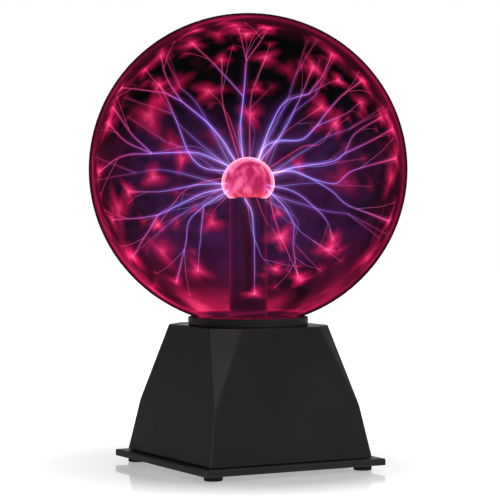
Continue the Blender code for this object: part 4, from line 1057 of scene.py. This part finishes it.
def soften(node, width, shortest, finishes, body=BASE):
    """A copy of a CAD piece with its longer outer edges rounded, as moulded edges are."""
    bm = bmesh.new()
    bm.from_mesh(frame["nodes"][node].data)
    bmesh.ops.remove_doubles(bm, verts=bm.verts, dist=0.002 * MM)
    bmesh.ops.dissolve_limit(bm, angle_limit=math.radians(1), verts=bm.verts, edges=bm.edges)
    edges = [e for e in bm.edges if e.is_manifold and e.is_convex and e.calc_length() > shortest]
    edges = [e for e in edges if e.calc_face_angle() > math.radians(12)]
    rounding = {"offset": width, "segments": 3, "profile": 0.5, "affect": "EDGES"}
    bmesh.ops.bevel(bm, geom=edges, clamp_overlap=True, **rounding)
    mesh = shaded_mesh(node + "_soft", bm, 35)
    mesh.materials.clear()
    mesh.materials.append(finishes[SLOTS[node]])
    softened = piece(node + "_soft", mesh, node, body)
    softened.modifiers.new("flat_faces", "WEIGHTED_NORMAL").keep_sharp = True
    return softened


def make_power_socket(finish):
    """The coaxial socket's round flange and barrel, in the slanting back wall."""
    low_half, top_half = 57.6 * MM, 42.8 * MM
    slant = math.atan2(low_half - top_half, HOUSING_HIGH.z - HOUSING_LOW.z)
    outward = Vector((0, math.cos(slant), math.sin(slant)))
    low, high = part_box("power_socket")
    flange, barrel, mouth, bore = 6.2 * MM, 4.6 * MM, 3.1 * MM, 1.3 * MM
    face, under, floor, end = 1.7 * MM, 0.3 * MM, -9.5 * MM, -12.0 * MM  # heights over the wall
    profile = [(mouth, face - 0.2 * MM)]
    profile += bend(profile[-1], (mouth, face), (mouth + 0.2 * MM, face), 3)
    profile += [(flange - 0.5 * MM, face)]
    profile += bend(profile[-1], (flange, face), (flange, face - 0.5 * MM), 4)
    profile += [(flange, under), (barrel, under), (barrel, end), (bore, end), (bore, floor), (mouth, floor)]
    mesh = turned("power_socket_round", profile, 48, closed=True)
    mesh.materials.append(finish)
    wall_height = 27.0 * MM
    wall = low_half - wall_height * math.tan(slant)
    place = {"location": ((low.x + high.x) / 2, wall, HOUSING_LOW.z + wall_height)}
    place["rotation"] = outward.to_track_quat("Z", "Y").to_euler()
    piece("power_socket_round", mesh, "power_socket", **place)


# ---- Studio ----
def looking(direction):
    """The rotation of a lamp or a camera that looks along a direction."""
    return direction.to_track_quat("-Z", "Y").to_euler()


def seen_by_camera(tree):
    return add(tree, "LightPath").outputs["Is Camera Ray"]


def make_floor():
    """A white gloss table, which mirrors the base faintly, takes its shadow and has a painted shadow round
    the base.
    """
    mesh = bpy.data.meshes.new("floor")
    bm = bmesh.new()
    bmesh.ops.create_circle(bm, cap_ends=True, segments=96, radius=4.0)
    bm.to_mesh(mesh)
    bm.free()
    material, tree = new_tree("white_gloss_table")
    away = add(tree, "VectorMath", {0: position(tree)}, operation="LENGTH").outputs["Value"]
    # Painted shadow: the table's own glow is lower close to the base and full white further out.
    white = ramp(tree, away, (0.09, 0.74), (0.2, 0.98), (0.4, 1.1))
    own_light = mix_colours(tree, seen_by_camera(tree), 0.3, white)
    diffuse = add(tree, "BsdfDiffuse", {"Color": rgba(0.38)}).outputs[0]
    table = add_shaders(tree, diffuse, glow(tree, own_light))
    gloss = add(tree, "BsdfGlossy", {"Roughness": 0.06}).outputs[0]
    grazing = add(tree, "Fresnel", {"IOR": 1.45}).outputs[0]
    mirror = times(tree, grazing, ramp(tree, away, (0.085, 1), (0.15, 0)))
    end_material(material, mix_shaders(tree, mirror, table, gloss))
    mesh.materials.append(material)
    put("floor", mesh)


def make_world():
    """White to the camera. As a light, only a backdrop is bright, so that black stays black."""
    world = bpy.data.worlds.new("studio")
    world.use_nodes = True
    tree = world.node_tree
    tree.nodes.clear()
    direction = add(tree, "TexCoord").outputs["Generated"]
    backward = add(tree, "VectorMath", {0: direction, 1: tuple(-TOWARD)}, operation="DOT_PRODUCT")
    strength = ramp(tree, backward.outputs["Value"], (0.93, 0.15), (0.985, 1))
    seen = add(tree, "Background", {"Color": rgba(1)}).outputs[0]
    lighting = add(tree, "Background", {"Color": rgba(1), "Strength": strength}).outputs[0]
    add(tree, "OutputWorld", {"Surface": mix_shaders(tree, seen_by_camera(tree), lighting, seen)})
    bpy.context.scene.world = world


def area_light(name, direction, distance, size, power, diffuse=True, mirrored=True):
    """A square soft light on the base, from a direction given across, toward and up the view.

    Without diffuse it only shows as a sheen, and without mirrored it is never reflected.
    """
    light = bpy.data.lights.new(name, "AREA")
    light.size = size
    light.energy = power
    across, toward, up = direction
    out = (ACROSS * across + TOWARD * toward + UP * up).normalized()
    target = Vector((0, 0, HOUSING_LOW.z + 40 * MM))
    lamp = put(name, light, target + out * distance, looking(-out))
    lamp.visible_diffuse = diffuse
    lamp.visible_glossy = mirrored
    return lamp


def light_only(lamp, pieces):
    """Keeps a lamp's light to the given pieces."""
    receivers = bpy.data.collections.new(lamp.name + "_receivers")
    for receiver in pieces:
        receivers.objects.link(receiver)
    lamp.light_linking.receiver_collection = receivers


def make_camera():
    camera = bpy.data.cameras.new("camera")
    camera.lens = FOCAL_MM
    camera.sensor_width = SENSOR_MM
    camera.shift_x = SIDE_SHIFT
    out = TOWARD * math.cos(VIEW_HEIGHT) + UP * math.sin(VIEW_HEIGHT)
    eye = put("camera", camera, VIEW_TARGET + out * VIEW_DISTANCE, looking(-out))
    bpy.context.scene.camera = eye


def make_studio(base_pieces):
    make_floor()
    make_world()
    sheen = area_light("facet_sheen", (-0.37, 0.54, 0.75), 1.2, 0.5, 2.2, diffuse=False)
    light_only(sheen, base_pieces)
    area_light("overhead", (0.35, 0.2, 1.0), 1.5, 1.0, 10.0, mirrored=False)
    area_light("front", (0.5, 0.83, 0.3), 1.5, 0.9, 9.5, mirrored=False)
    area_light("rear", (0.15, -0.9, 0.5), 1.5, 0.6, 9.0, mirrored=False)
    make_camera()
    bpy.context.scene.view_settings.view_transform = "Standard"
    bpy.context.scene.cycles.transparent_max_bounces = 96


# ---- Everything together ----
def dress_cad_nodes(finishes):
    """Gives each CAD node the finish of its material slot, where there is one."""
    for name, obj in frame["nodes"].items():
        finish = finishes.get(SLOTS[name])
        if finish is not None:
            obj.data.materials.clear()
            obj.data.materials.append(finish)


finishes = solid_materials()
finishes["stem_glass"] = tube_glass()
dress_cad_nodes(finishes)
make_globe()
make_stem()
make_lining()
make_discharge()
make_collar(finishes["base_plastic"])
make_feet(finishes["rubber"])
housing = soften("base_housing", 0.5 * MM, 12 * MM, finishes)
plate = soften("bottom_plate", 0.4 * MM, 12 * MM, finishes)
soften("switch_frame", 0.3 * MM, 8 * MM, finishes)
soften("switch_rocker", 0.25 * MM, 2 * MM, finishes, "rocker")
make_power_socket(finishes["control_plastic"])
make_studio([housing, plate])
